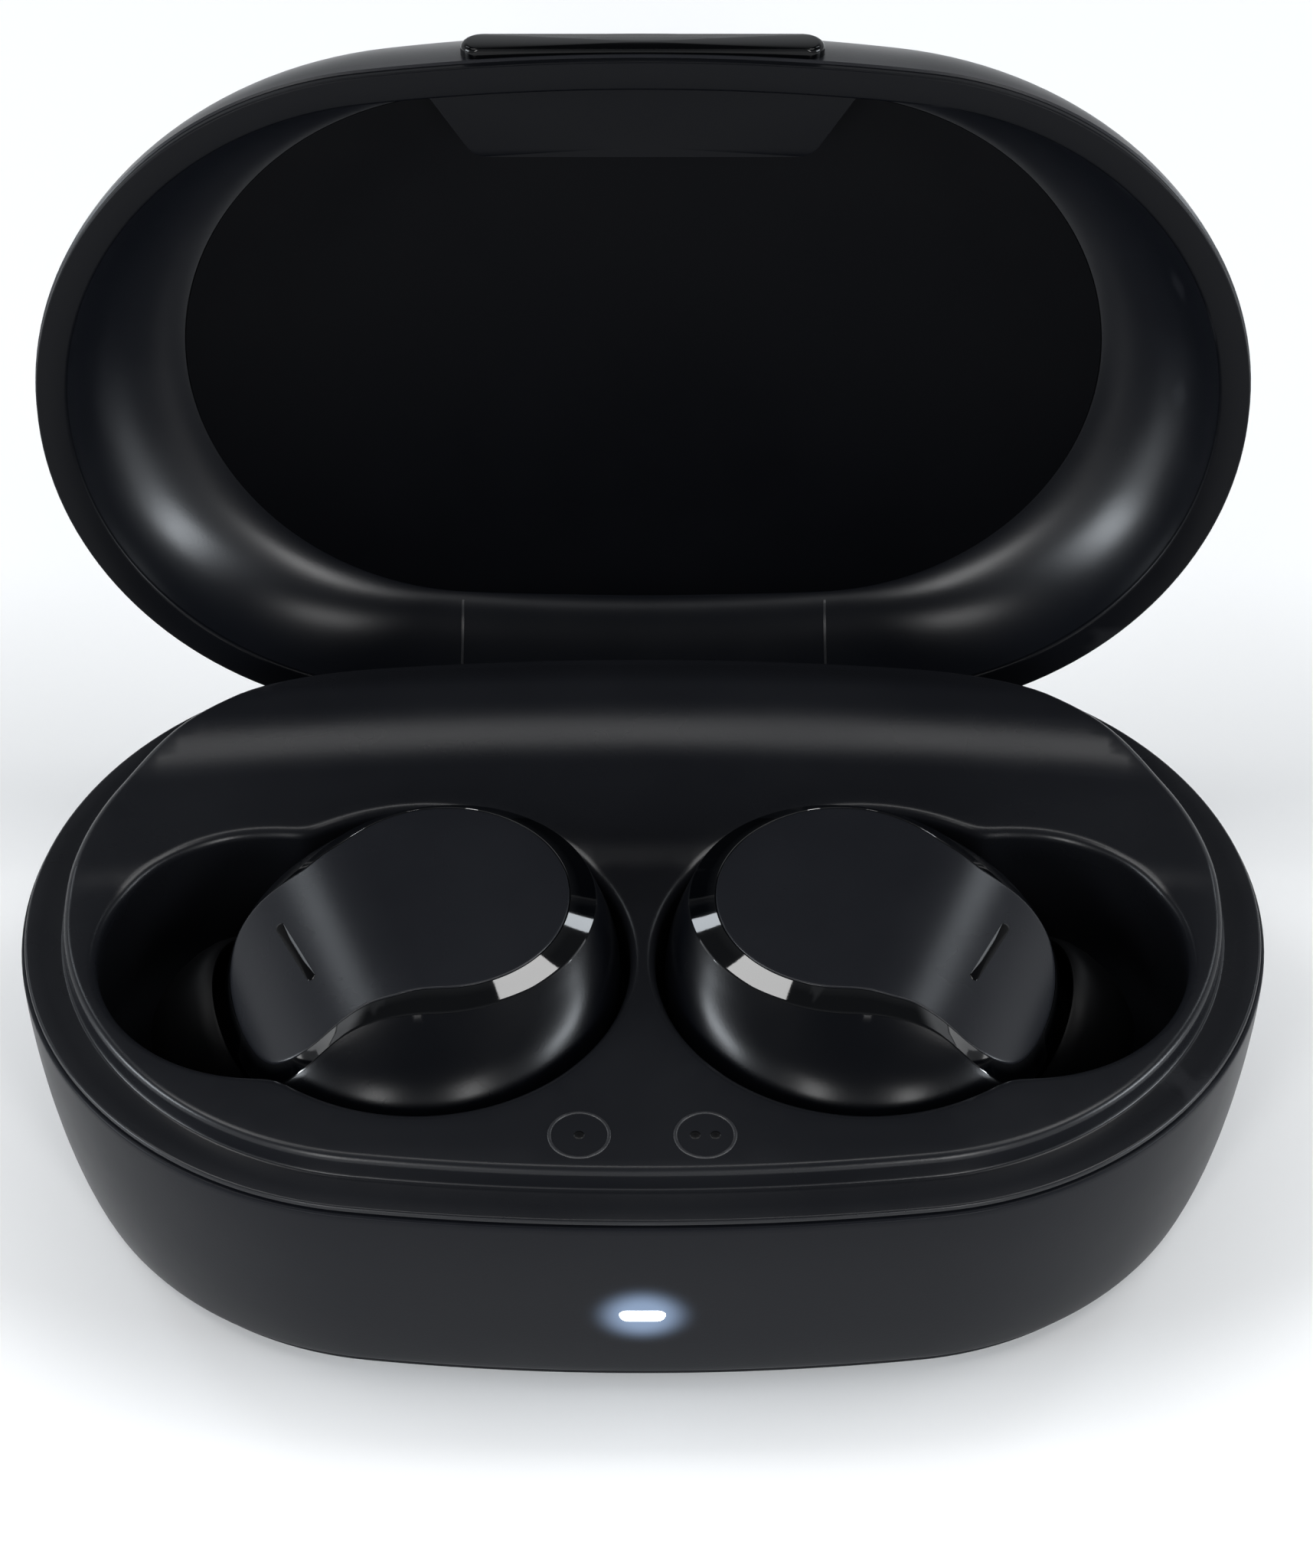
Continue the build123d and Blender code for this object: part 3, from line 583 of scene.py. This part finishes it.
def well_rings(fillet):
    rings = []
    for drop, grow in quarter(6):
        outline = well_outline(DECK_Z, fillet * grow)
        rings.append(ring(outline, deck_height(*outline.T) - fillet * drop))
    for z in (DECK_Z - 1.2, 12.5, 10.8, 10.1, 9.4, 8.7, 8.0, 7.3, 6.6, WELL_FLOOR):
        rings.append(ring(well_outline(z, 0.0), z))
    return rings


def toe_rings(grow, count):
    """Pocket under the ear tip, from the well's floor down; grow gives its outside."""
    angles = np.linspace(0, 2 * math.pi, TOE_STEPS, endpoint=False)
    rings = []
    for z in np.linspace(WELL_FLOOR, TOE_FLOOR, count):
        cx, cy, radius = circle_at(WELL_B, z)
        radius += grow
        outline = np.c_[cx + radius * np.cos(angles), cy + radius * np.sin(angles)]
        rings.append(ring(outline, z - grow))
    return rings


def add_well(build, sides, toes, floor):
    """Walls and floor of one well with its pocket; returns the loop at its mouth."""
    loops = build.strip(sides)
    toe_loops = build.strip(toes)
    build.plate(loops[-1], [toe_loops[0]], lambda x, y: floor)
    build.cap(toe_loops[-1])
    return loops[0]


def tray():
    build = Build()
    edge, step_fillet, deck_fillet, well_fillet = 0.14, 0.18, 0.42, 0.55
    rings = [ring(rim(inset), z) for inset, z in (
        (SKIRT_INSET, SKIRT_Z), (DECK_INSET, SKIRT_Z), (DECK_INSET, FLANGE_Z),
        (FLANGE_INSET, FLANGE_Z), (0.2, FLANGE_Z + 0.06))]
    rings += [ring(rim(0.2 + edge * out), STEP_Z - edge * down) for out, down in quarter()]
    rings.append(ring(rim(1.1), STEP_Z))
    rings += [ring(rim(DECK_INSET - step_fillet * down), STEP_Z + step_fillet * out)
              for out, down in quarter()]
    edge_height = deck_height(*rim(DECK_INSET + deck_fillet).T)
    rings += [ring(rim(DECK_INSET + deck_fillet * out), edge_height - deck_fillet * down)
              for out, down in quarter(6)]
    deck_edge = build.strip(rings)[-1]
    mouths = [add_well(build, flipped(well_rings(well_fillet), flip),
                       flipped(toe_rings(0.0, 5), flip), WELL_FLOOR) for flip in (False, True)]
    rows = np.concatenate([np.arange(-17.5, 0.6, 1.0), np.arange(0.6, 18.2, 0.3)])
    fill = [(x, y) for y in rows for x in np.arange(-28.5, 28.6, 1.0)]
    deck_line = rim(DECK_INSET + deck_fillet + 0.35)
    well_line = well_outline(DECK_Z, CUP_WALL)
    fill = [p for p in fill if inside(p, deck_line) and not inside(p, well_line)
            and not inside(p, well_line * (-1, 1))]
    build.plate(deck_edge, mouths, deck_height, fill)
    under = build.strip([ring(rim(SKIRT_INSET), SKIRT_Z), ring(rim(SKIRT_INSET), UNDER_Z)])
    cup = [ring(well_outline(z, CUP_WALL), z) for z in (UNDER_Z, 10.8, 8.0)]
    cup.append(ring(well_outline(WELL_FLOOR, CUP_WALL), WELL_FLOOR - CUP_WALL))
    cups = [add_well(build, flipped(cup, flip), flipped(toe_rings(CUP_WALL, 3), flip),
                     WELL_FLOOR - CUP_WALL) for flip in (False, True)]
    build.plate(under[-1], cups, lambda x, y: UNDER_Z)
    obj = make("tray_top", build, [LEDGE], sharp=32)
    for radius, half_length in ((2.75, 4.3), (2.1, 7.7)):       # lid's knuckle, then its springs
        carve(obj, cylinder_x(radius, -half_length, half_length, HINGE_Y, HINGE_Z, 0.0, 96))
    round_rear(obj, 11, RIM_Z + 0.02)
    return obj


def hinge_barrels():
    build = Build()
    for side in (-1, 1):
        x0, x1 = sorted((side * BARREL_START, side * BARREL_END))
        merge(build, cylinder_x(BARREL_R, x0, x1, HINGE_Y, HINGE_Z, 0.2, 64))
    return make("hinge_barrels", build, [LEDGE])


def mark(side):
    """Disc with a fine raised ring, and one dot on the left or two on the right."""
    build = Build()
    angles = np.linspace(0, 2 * math.pi, 72, endpoint=False)
    circle = np.c_[np.cos(angles), np.sin(angles)]
    centre = np.array((side * MARK_X, MARK_Y))
    top = DECK_Z + 0.03
    dots = [0.0] if side < 0 else [-DOT_SHIFT, DOT_SHIFT]
    profile = ((1.58, 0.3), (1.58, 0.05), (1.56, 0.015), (1.52, 0.0), (1.44, 0.0), (1.40, 0.015),
               (1.37, 0.05), (1.33, 0.06))
    build.solid([ring(centre + circle * r, top - drop) for r, drop in profile])
    dome = ((DOT_R, 0.1), (DOT_R, 0.055), (0.27, 0.03), (0.16, 0.02))
    for dx in dots:
        build.solid([ring(centre + (dx, 0) + circle * r, top - drop) for r, drop in dome])
    obj = make("mark_" + ("left" if side < 0 else "right"), build, [MARK_AND_SEAM_HIGHLIGHT, MARK_DOT])
    for polygon in obj.data.polygons:
        x, y, z = np.array(polygon.center) / MM - (*centre, top)
        if z > -0.058 and any(math.hypot(x - dx, y) < DOT_R + 0.01 for dx in dots):
            polygon.material_index = 1
    return obj


def lamp():
    shape = prism(pill_outline(LAMP_LENGTH, LAMP_WIDTH), -1.0, 1.1, 0.12, 4)
    shape.verts = [np.c_[p[:, 0], -18.93 - p[:, 2], LAMP_Z + p[:, 1]] for p in shape.verts]
    return make("status_lamp", shape, [LAMP])


# ---- lid ------------------------------------------------------------------------------
def lid_fractions(start, count):
    """Parts of a dome's height from start to 1, dense near the top, where it turns fastest."""
    return start + (1 - start) * np.sin(np.linspace(0, 1, count) * math.pi / 2)


def shell_ring(fraction):
    return dome_ring(0.0, LID_HEIGHT, LID_TAPER_X, LID_TAPER_Y, LID_POWER, fraction)


def cavity_rings(grow, count, start_t=0.0):
    """The lid's hollow from start_t up, or a surface that lies grow outside it."""
    inset = BAND_INSET - (grow + 0.1 if grow else 0)
    top = CEILING_T + grow
    taper_x = HALF_X - inset - CEILING_X - grow
    taper_y = HALF_Y - inset - CEILING_Y - grow
    return [dome_ring(inset, top, taper_x, taper_y, CEILING_POWER, f)
            for f in lid_fractions(start_t / top, count)]


def lid_body():
    build = Build()
    start = LID_LIP / LID_HEIGHT
    outer = [shell_ring(f) for f in lid_fractions(start, 44)]
    lip = outer[0].copy()
    lip[:, :2] *= 1 - 0.12 / np.linalg.norm(lip[:, :2], axis=1, keepdims=True)
    build.cap(build.strip([lip, shell_ring(start + 0.013)] + outer[2:])[-1])
    build.cap(build.strip([lip] + cavity_rings(0.5, 20, LID_LIP))[-1])
    return make("lid_body", build, [SHELL], lid=True)


def lid_inner():
    """Rim band, concave wall and the wall's back; the rim band takes a darker copy of the liner as
    painted shade.
    """
    build = Build()
    edge, lip = 0.12, 0.16
    band_out = [ring(rim(edge + edge * out), edge * down) for out, down in quarter()]
    band_in = [ring(rim(BAND_INSET - lip * down), lip * out) for out, down in quarter()]
    outside = [ring(rim(1.3), 0.46), ring(rim(0.14), 0.44)]
    wall = [r for r in cavity_rings(0.0, 36) if r[0][2] > lip + 0.05]
    build.strip(outside + band_out + [ring(rim(0.9), 0.0)] + band_in + wall)
    back = [outside[0]] + cavity_rings(0.45, 16, 0.46)[1:]
    build.strip(back)
    build.strip([wall[-1], back[-1]])
    obj = make("lid_inner", build, [LINER, LINER_SHADE], lid=True)
    origin, inward = swing_open([(0, 0, 0), (0, 0, 1)])
    # faces near the rim take the darker copy of the liner as painted shade
    for polygon in obj.data.polygons:
        depth = (np.array(polygon.center) / MM - origin) @ (inward - origin)
        if depth < BAND_SHADE_DEPTH:
            polygon.material_index = 1
    return obj


def cover_seam(side):
    """Raised edge of the hinge cover, running up the concave wall, in the lighter mark colour as a
    painted highlight along the seam.
    """
    path = []
    for outline in cavity_rings(0.0, 60):
        back = outline[outline[:, 1] > 5]
        back = back[np.argsort(back[:, 0])]
        path.append((np.interp(side * SEAM_X, back[:, 0], back[:, 1]), outline[0][2]))
    path = np.array([p for p in path if SEAM_START < p[1] < CEILING_T - 0.15])
    tangent = np.gradient(path, axis=0)
    tangent /= np.linalg.norm(tangent, axis=1, keepdims=True)
    section = ((-0.07, -0.05), (-0.06, 0.02), (-0.02, 0.035), (0.02, 0.035), (0.06, 0.02),
               (0.07, -0.05))
    build = Build()
    build.solid([[(side * SEAM_X + w, y - h * dt, t + h * dy) for w, h in section]
                 for (y, t), (dy, dt) in zip(path, tangent)])
    # the lighter mark colour on the rib is a painted highlight along the seam
    return make("seam_" + ("left" if side < 0 else "right"), build, [MARK_AND_SEAM_HIGHLIGHT], lid=True)


def ceiling_panel():
    outline = oval(CEILING_X - 0.04, CEILING_Y - 0.04, CEILING_Y - 0.24)
    shape = prism(outline, CEILING_T - 0.06, CEILING_T + 0.3, 0.05, 2)
    return make("lid_ceiling", shape, [PANEL], lid=True)


def rounded_polygon(corners, radii, steps=8):
    """Outline with round corners, anticlockwise."""
    points = []
    n = len(corners)
    for i, radius in enumerate(radii):
        here = np.array(corners[i], float)
        if radius == 0:
            points.append(here)
            continue
        to_last = np.array(corners[i - 1], float) - here
        to_next = np.array(corners[(i + 1) % n], float) - here
        to_last /= np.linalg.norm(to_last)
        to_next /= np.linalg.norm(to_next)
        half = math.acos(np.clip(to_last @ to_next, -1, 1)) / 2
        inward = (to_last + to_next) / np.linalg.norm(to_last + to_next)
        start = here + to_last * radius / math.tan(half)
        stop = here + to_next * radius / math.tan(half)
        centre = here + inward * radius / math.sin(half)
        a0 = math.atan2(*(start - centre)[::-1])
        a1 = math.atan2(*(stop - centre)[::-1])
        turn = (a1 - a0 + math.pi) % (2 * math.pi) - math.pi
        for angle in (a0 + turn * k / steps for k in range(steps + 1)):
            points.append(centre + radius * np.array((math.cos(angle), math.sin(angle))))
    return np.array(points)


def magnet_cover():
    corners = ((-11.4, -18.4), (11.4, -18.4), (8.7, -14.2), (-8.7, -14.2))
    outline = rounded_polygon(corners, (0, 0, 1.2, 1.2))
    depth = CEILING_T + 0.1 - COVER_DEPTH
    shape = prism(outline, COVER_DEPTH, COVER_DEPTH + depth, 0.16, 4)
    for points in shape.verts:          # the sides lean in with depth, to stay under the dome
        lean = (points[:, 2] - COVER_DEPTH) / depth
        points[:, 0] *= 1 - COVER_LEAN_X * lean
        outer = points[:, 1] < COVER_FRONT
        points[outer, 1] += COVER_LEAN_Y * lean[outer]
    # the cover takes the darker copy of the liner: painted shade
    return make("lid_magnet_plate", shape, [LINER_SHADE], lid=True)


def thumb_strip():
    shape = prism(pill_outline(STRIP_LENGTH, STRIP_WIDTH, 20), -STRIP_DEPTH, 0.0, 0.35, 6)
    shape.verts = [np.c_[p[:, 0], -(HALF_Y + STRIP_PROUD) - p[:, 2], STRIP_Z + p[:, 1]]
                   for p in shape.verts]
    return make("thumb_grip", shape, [STRIP], lid=True)


# ---- earbuds --------------------------------------------------------------------------
#            z above rim, centre x, centre y, radius, outward stretch
BUD_RINGS = ((-8.5, -10.6, -4.2, 4.2, 0.02), (-6.3, -10.7, -4.2, 7.3, 0.02),
             (-3.6, -11.0, -4.2, 9.2, 0.02), (-1.0, -11.1, -4.1, 9.95, 0.15),
             (1.5, -10.55, -3.4, 9.25, 0.4), (3.7, -9.6, -2.35, 7.3, 0.6))
BUD_BOTTOM = BUD_RINGS[0][0]
LAYER = 0.6              # thickness of the touch face and of the trim round it
FACE_RISE = 4.3          # the touch face lies this far above the rim
TRIM_WIDTH, TRIM_WIDTH_OUTWARD = 0.82, 0.35
BEND_RADIUS, BEND_START = 10.5, 1.5
BEND_MIDDLE = np.array((-11.0, -3.8))
BEND_TURN = math.radians(20.4)
OUTWARD = np.array((-math.cos(BEND_TURN), -math.sin(BEND_TURN)))
FACE_MIDDLE, FACE_R = np.array((-10.1, -2.4)), 6.4
BUD_MIDDLE = np.array((-10.4, -3.0))
BUD_STEPS = 200
SLOT_MIDDLE = np.array((-17.5, -5.1))
SLOT_LENGTH, SLOT_WIDTH = 4.5, 0.42
SLOT_ALONG = np.array((0.431, -0.902))
TIP_SPOT = np.array((-21.1, -3.4, 9.1))
TIP_AXIS = np.array((-0.80, 0.06, -0.60)) / np.linalg.norm((-0.80, 0.06, -0.60))
TIP_LENGTH = 2.6         # from the tip's skirt to its spot on the bud
bud_angles = np.linspace(0, 2 * math.pi, BUD_STEPS, endpoint=False)
bud_direction = np.c_[np.cos(bud_angles), np.sin(bud_angles)]


def spline(xs, ys):
    """Smooth curve through points, as a function (cubic with matched slopes)."""
    xs, ys = np.array(xs, float), np.array(ys, float)
    slopes = np.gradient(ys, xs)

    def value(x):
        x = np.clip(x, xs[0], xs[-1])
        k = np.clip(np.searchsorted(xs, x) - 1, 0, len(xs) - 2)
        h = xs[k + 1] - xs[k]
        t = (x - xs[k]) / h
        return ((2 * t ** 3 - 3 * t ** 2 + 1) * ys[k] + (t ** 3 - 2 * t ** 2 + t) * h * slopes[k]
                + (3 * t ** 2 - 2 * t ** 3) * ys[k + 1] + (t ** 3 - t ** 2) * h * slopes[k + 1])
    return value


ring_x, ring_y, ring_r, ring_stretch = (
    spline([row[0] for row in BUD_RINGS], [row[k] for row in BUD_RINGS]) for k in (1, 2, 3, 4))


def body_span(z):
    """Distance from the bud's middle to its skin, for each direction, at heights above the rim."""
    z = np.broadcast_to(z, BUD_STEPS)
    radius, stretch = ring_r(z), ring_stretch(z)
    squeeze = radius / (radius + stretch)
    offset = np.c_[ring_x(z), ring_y(z)] - BUD_MIDDLE + stretch[:, None] * OUTWARD
    sideways = np.array((-OUTWARD[1], OUTWARD[0]))
    a, b = bud_direction @ OUTWARD * squeeze, bud_direction @ sideways
    u, v = offset @ OUTWARD * squeeze, offset @ sideways
    size = a * a + b * b
    along = (a * u + b * v) / size
    return along + np.sqrt(np.maximum(along ** 2 - (u * u + v * v - radius ** 2) / size, 0))


def face_z(points, drop=0.0):
    """Height above the rim of the touch surface, or of the surface that lies drop under it."""
    out = np.maximum((points - BEND_MIDDLE) @ OUTWARD - BEND_START, 0)
    radius = BEND_RADIUS - drop
    axis = FACE_RISE - BEND_RADIUS
    return axis + np.sqrt(np.maximum(radius ** 2 - np.minimum(out, radius * 0.995) ** 2, 0))


def solve_edge(drop):
    """Heights at which the bud's skin meets the surface that lies drop under the face."""
    low = np.full(BUD_STEPS, -5.0)
    high = np.full(BUD_STEPS, BUD_RINGS[-1][0])
    for _ in range(40):
        z = (low + high) / 2
        points = BUD_MIDDLE + bud_direction * body_span(z)[:, None]
        below = z < face_z(points, drop)
        low = np.where(below, z, low)
        high = np.where(below, high, z)
    return (low + high) / 2


def bud_edges():
    """Inner and outer reach of the trim for each direction, and the height of its outer edge."""
    z_out = solve_edge(LAYER)
    span_out = body_span(z_out)
    points = BUD_MIDDLE + bud_direction * span_out[:, None]
    bend = np.clip(((points - BEND_MIDDLE) @ OUTWARD - 1.0) / 3.0, 0, 1)
    bend = bend * bend * (3 - 2 * bend)
    offset = FACE_MIDDLE - BUD_MIDDLE
    along = bud_direction @ offset
    flat = along + np.sqrt(FACE_R ** 2 - offset @ offset + along ** 2)
    outwardness = np.clip((bud_direction @ OUTWARD - 0.72) / 0.2, 0, 1)
    rolled = span_out - TRIM_WIDTH + (TRIM_WIDTH - TRIM_WIDTH_OUTWARD) * outwardness
    span_in = flat * (1 - bend) + rolled * bend
    return span_in, span_out, z_out


def at(span, z):
    """Ring at a distance from the bud's middle, at heights above the rim."""
    return np.c_[BUD_MIDDLE + bud_direction * span[:, None], np.broadcast_to(z, BUD_STEPS) + RIM_Z]


def on_face(span, sink=0.0):
    """Ring at a distance from the bud's middle, sunk a little below the touch face."""
    points = BUD_MIDDLE + bud_direction * span[:, None]
    return np.c_[points, face_z(points) - sink + RIM_Z]


def bud_face(name, flip):
    build = Build()
    span_in, _, _ = bud_edges()
    top = [on_face(span_in * f) for f in np.linspace(0.03, 0.985, 44)]
    edge = [on_face(span_in - pull, sink) for pull, sink in ((0.05, 0.004), (0.02, 0.02), (0.0, 0.06))]
    under = [on_face(span_in * f, sink) for f, sink in ((1.0, 0.5), (0.6, 0.55), (0.1, 0.55))]
    build.solid(top + edge + under)
    return make(name, build, [FACE], flip_x=flip, sharp=50)


def bud_trim(name, flip):
    build = Build()
    span_in, span_out, z_out = bud_edges()
    inner = on_face(span_in + 0.035, sink=0.02)
    outer = at(span_out - 0.02, z_out + 0.02)
    facets = [inner + (outer - inner) * f for f in (0.0, 0.03, 0.5, 0.95, 1.0)]
    facets[0] = on_face(span_in + 0.03, sink=0.08)
    edge = [at(body_span(z_out - 0.05), z_out - 0.05), at(span_out - 0.35, z_out - 0.1)]
    under = [on_face(span_in + 0.03, sink=0.5)]
    build.strip(facets + edge + under, closed=True)
    return make(name, build, [TRIM], flip_x=flip, sharp=25)


def bud_body(name, flip):
    build = Build()
    span_in, span_out, z_out = bud_edges()
    start = z_out - 0.07
    heights = [start + (BUD_BOTTOM - start) * t for t in np.linspace(0, 1, 46)]
    rows = [at(body_span(z), z) for z in heights]
    rows[0] = at(body_span(start) - 0.03, start)
    rows.append(at(body_span(BUD_BOTTOM) * 0.92, BUD_BOTTOM - 0.02))
    roof = [on_face(span_in * 0.2, 0.62), on_face(span_in - 0.3, 0.6), at(span_out - 0.4, z_out - 0.12)]
    build.solid(roof + rows)
    return make(name, build, [BUD], flip_x=flip, sharp=40)


def bud_slot(name, flip):
    """Plain straight inlay on the rolled part of the touch face."""
    outline = pill_outline(SLOT_LENGTH, SLOT_WIDTH, 10)
    across = np.array((-SLOT_ALONG[1], SLOT_ALONG[0]))
    build = Build()
    rows = []
    for grow, lift in ((0.0, -0.15), (0.0, 0.012), (-0.04, 0.03), (-0.12, 0.034)):
        length = np.linalg.norm(outline, axis=1, keepdims=True)
        shape = outline * (1 + grow / np.maximum(length, 0.2))
        flat = SLOT_MIDDLE + shape[:, :1] * SLOT_ALONG + shape[:, 1:] * across
        rows.append(np.c_[flat, face_z(flat) + lift + RIM_Z])
    build.solid(rows)
    return make(name, build, [SLOT], flip_x=flip)


def ear_tip(name, flip):
    """Soft mushroom turned about its axis, from radii and heights along its section."""
    profile = ((1.6, 5.35), (1.55, 5.7), (1.75, 5.95), (2.2, 6.02), (2.9, 5.75), (3.7, 5.15),
               (4.35, 4.2), (4.85, 3.0), (5.12, 1.8), (5.18, 0.9), (5.08, 0.1), (4.9, -0.02),
               (4.7, 0.1), (4.68, 1.3), (4.3, 3.0), (3.6, 4.2), (2.95, 4.7), (2.88, 4.0),
               (2.86, 1.3), (2.3, 1.2), (2.25, 5.2))
    side = np.cross(TIP_AXIS, (0, 0, 1.0))
    side /= np.linalg.norm(side)
    up = np.cross(side, TIP_AXIS)
    angles = np.linspace(0, 2 * math.pi, 72, endpoint=False)
    circle = np.outer(np.cos(angles), side) + np.outer(np.sin(angles), up)
    start = TIP_SPOT - TIP_AXIS * TIP_LENGTH
    rings = [start + TIP_AXIS * h + r * circle for r, h in profile]
    build = Build()
    build.strip(rings, closed=True)
    return make(name, build, [SILICONE], flip_x=flip, sharp=60)


# ---- put the object together ------------------------------------------------------------
def place(obj, body, slot, *nodes):
    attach(obj, body)
    if nodes:
        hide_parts(*nodes)


place(base_body(), "base", "case_plastic", "base_shell")
place(foot(), "base", "foot_plastic", "base_foot")
place(tray(), "base", "tray_plastic", "inner_tray")
place(hinge_barrels(), "base", "tray_plastic")
place(mark(-1), "base", "mark_plastic", "mark_disc_left")
place(mark(1), "base", "mark_plastic", "mark_disc_right")
place(lamp(), "base", "light_pipe", "led_light_pipe")
place(lid_body(), "lid", "case_plastic", "lid_shell")
place(lid_inner(), "lid", "tray_plastic", "lid_liner", "lid_hinge_cover")
place(cover_seam(-1), "lid", "tray_plastic")
place(cover_seam(1), "lid", "tray_plastic")
place(ceiling_panel(), "lid", "panel_plastic", "lid_ceiling_panel")
place(magnet_cover(), "lid", "tray_plastic", "lid_magnet_cover")
place(thumb_strip(), "lid", "strip_gloss", "thumb_strip")
for word, flip in (("left", False), ("right", True)):
    body = "bud_" + word
    place(bud_body(body + "_body", flip), body, "bud_plastic", body + "_shell")
    place(bud_face(body + "_face", flip), body, "bud_face", body + "_faceplate")
    place(bud_trim(body + "_trim", flip), body, "trim_gloss", body + "_trim_ring")
    place(bud_slot(body + "_slot", flip), body, "slot_gloss", body + "_slot_insert")
    place(ear_tip(body + "_tip", flip), body, "silicone", body + "_ear_tip")

BY_SLOT = {"case_plastic": CASE, "tray_plastic": LEDGE, "foot_plastic": FOOT, "panel_plastic": PANEL,
           "mark_plastic": MARK_AND_SEAM_HIGHLIGHT, "strip_gloss": STRIP, "bud_plastic": BUD, "bud_face": FACE,
           "trim_gloss": TRIM, "slot_gloss": SLOT, "silicone": SILICONE, "light_pipe": LAMP,
           "steel": STEEL, "spring_steel": STEEL, "cell_can": CAN, "board": BOARD, "chip": CHIP,
           "magnet": STEEL, "flex": FLEX, "gold": GOLD, "mesh_metal": STEEL}
slot_of = {s["node"]: s["material_slot"] for s in frame["record"]["subparts"]}
for name, obj in frame["nodes"].items():
    obj.data.materials.clear()
    obj.data.materials.append(BY_SLOT[slot_of[name]])
    smooth(obj, 30)


# ---- floor, light and camera ----------------------------------------------------------------
def floor():
    mesh = bpy.data.meshes.new("floor")
    size = 3.0
    corners = [(-size, -size, 0), (size, -size, 0), (size, size, 0), (-size, size, 0)]
    mesh.from_pydata(corners, [], [(0, 1, 2, 3)])
    obj = bpy.data.objects.new("floor", mesh)
    bpy.context.scene.collection.objects.link(obj)
    material = bpy.data.materials.new("floor_pale")
    material.use_nodes = True
    tree = material.node_tree
    shader = tree.nodes["Principled BSDF"]
    place_in = node(tree, "ShaderNodeTexCoord")
    noise = node(tree, "ShaderNodeTexNoise", Scale=40.0, Detail=3.0)
    tree.links.new(place_in.outputs["Object"], noise.inputs["Vector"])
    tone = remap(tree, noise.outputs["Fac"], 0.0, 1.0, 0.55, 0.65)
    tree.links.new(tone, shader.inputs["Roughness"])
    shader.inputs["Base Color"].default_value = (0.88, 0.88, 0.88, 1)
    shader.inputs["Specular IOR Level"].default_value = 0.2
    mesh.materials.append(material)


def soft_light(name, place_at, aim, width, height, watts, colour=(1, 1, 1)):
    data = bpy.data.lights.new(name, "AREA")
    data.shape = "RECTANGLE"
    data.size = width
    data.size_y = height
    data.energy = watts
    data.color = colour
    obj = bpy.data.objects.new(name, data)
    obj.location = place_at
    direction = Vector(aim) - Vector(place_at)
    obj.rotation_euler = direction.to_track_quat("-Z", "Y").to_euler()
    bpy.context.scene.collection.objects.link(obj)


floor()
COOL = (0.88, 0.94, 1.0)
soft_light("top", (0.0, 0.16, 0.8), (0, 0, 0.01), 0.7, 0.12, 1.4)
for side, watts in ((-1, 2.5), (1, 2.2)):
    soft_light("key", (side * 0.46, 0.0, 0.8), (side * 0.46, 0, 0.01), 0.32, 0.34, 2.0)
    soft_light("front", (side * 0.24, -0.55, 0.24), (0, 0, 0.02), 0.1, 0.26, 1.1)
    soft_light("side", (side * 0.6, -0.12, 0.17), (0, 0, 0.03), 0.3, 0.13, watts, COOL)
    soft_light("rear", (side * 0.367, 0.392, 0.46), (0, 0, 0.02), 0.12, 0.16, 0.34, COOL)


def studio_world():
    """Bright all round at floor level and dim above, as in a white cove with a dark ceiling."""
    world = bpy.data.worlds.new("world")
    bpy.context.scene.world = world
    world.use_nodes = True
    tree = world.node_tree
    background = tree.nodes["Background"]
    place_in = node(tree, "ShaderNodeTexCoord")
    split = node(tree, "ShaderNodeSeparateXYZ")
    tree.links.new(place_in.outputs["Generated"], split.inputs[0])
    fade = remap(tree, split.outputs["Z"], 0.25, 0.62, 0.85, 0.06, "SMOOTHSTEP")
    tree.links.new(fade, background.inputs["Strength"])
    background.inputs["Color"].default_value = (0.93, 0.96, 1.0, 1)


studio_world()

camera_data = bpy.data.cameras.new("camera")
camera_data.sensor_fit = "VERTICAL"
camera_data.sensor_height = 36.0
camera_data.lens = 117.6
camera = bpy.data.objects.new("camera", camera_data)
camera.location = (0.0007, -0.1849, 0.20315)
camera.rotation_euler = (math.radians(46.0), 0, 0)
bpy.context.scene.collection.objects.link(camera)
bpy.context.scene.camera = camera
bpy.context.scene.view_settings.view_transform = "Standard"
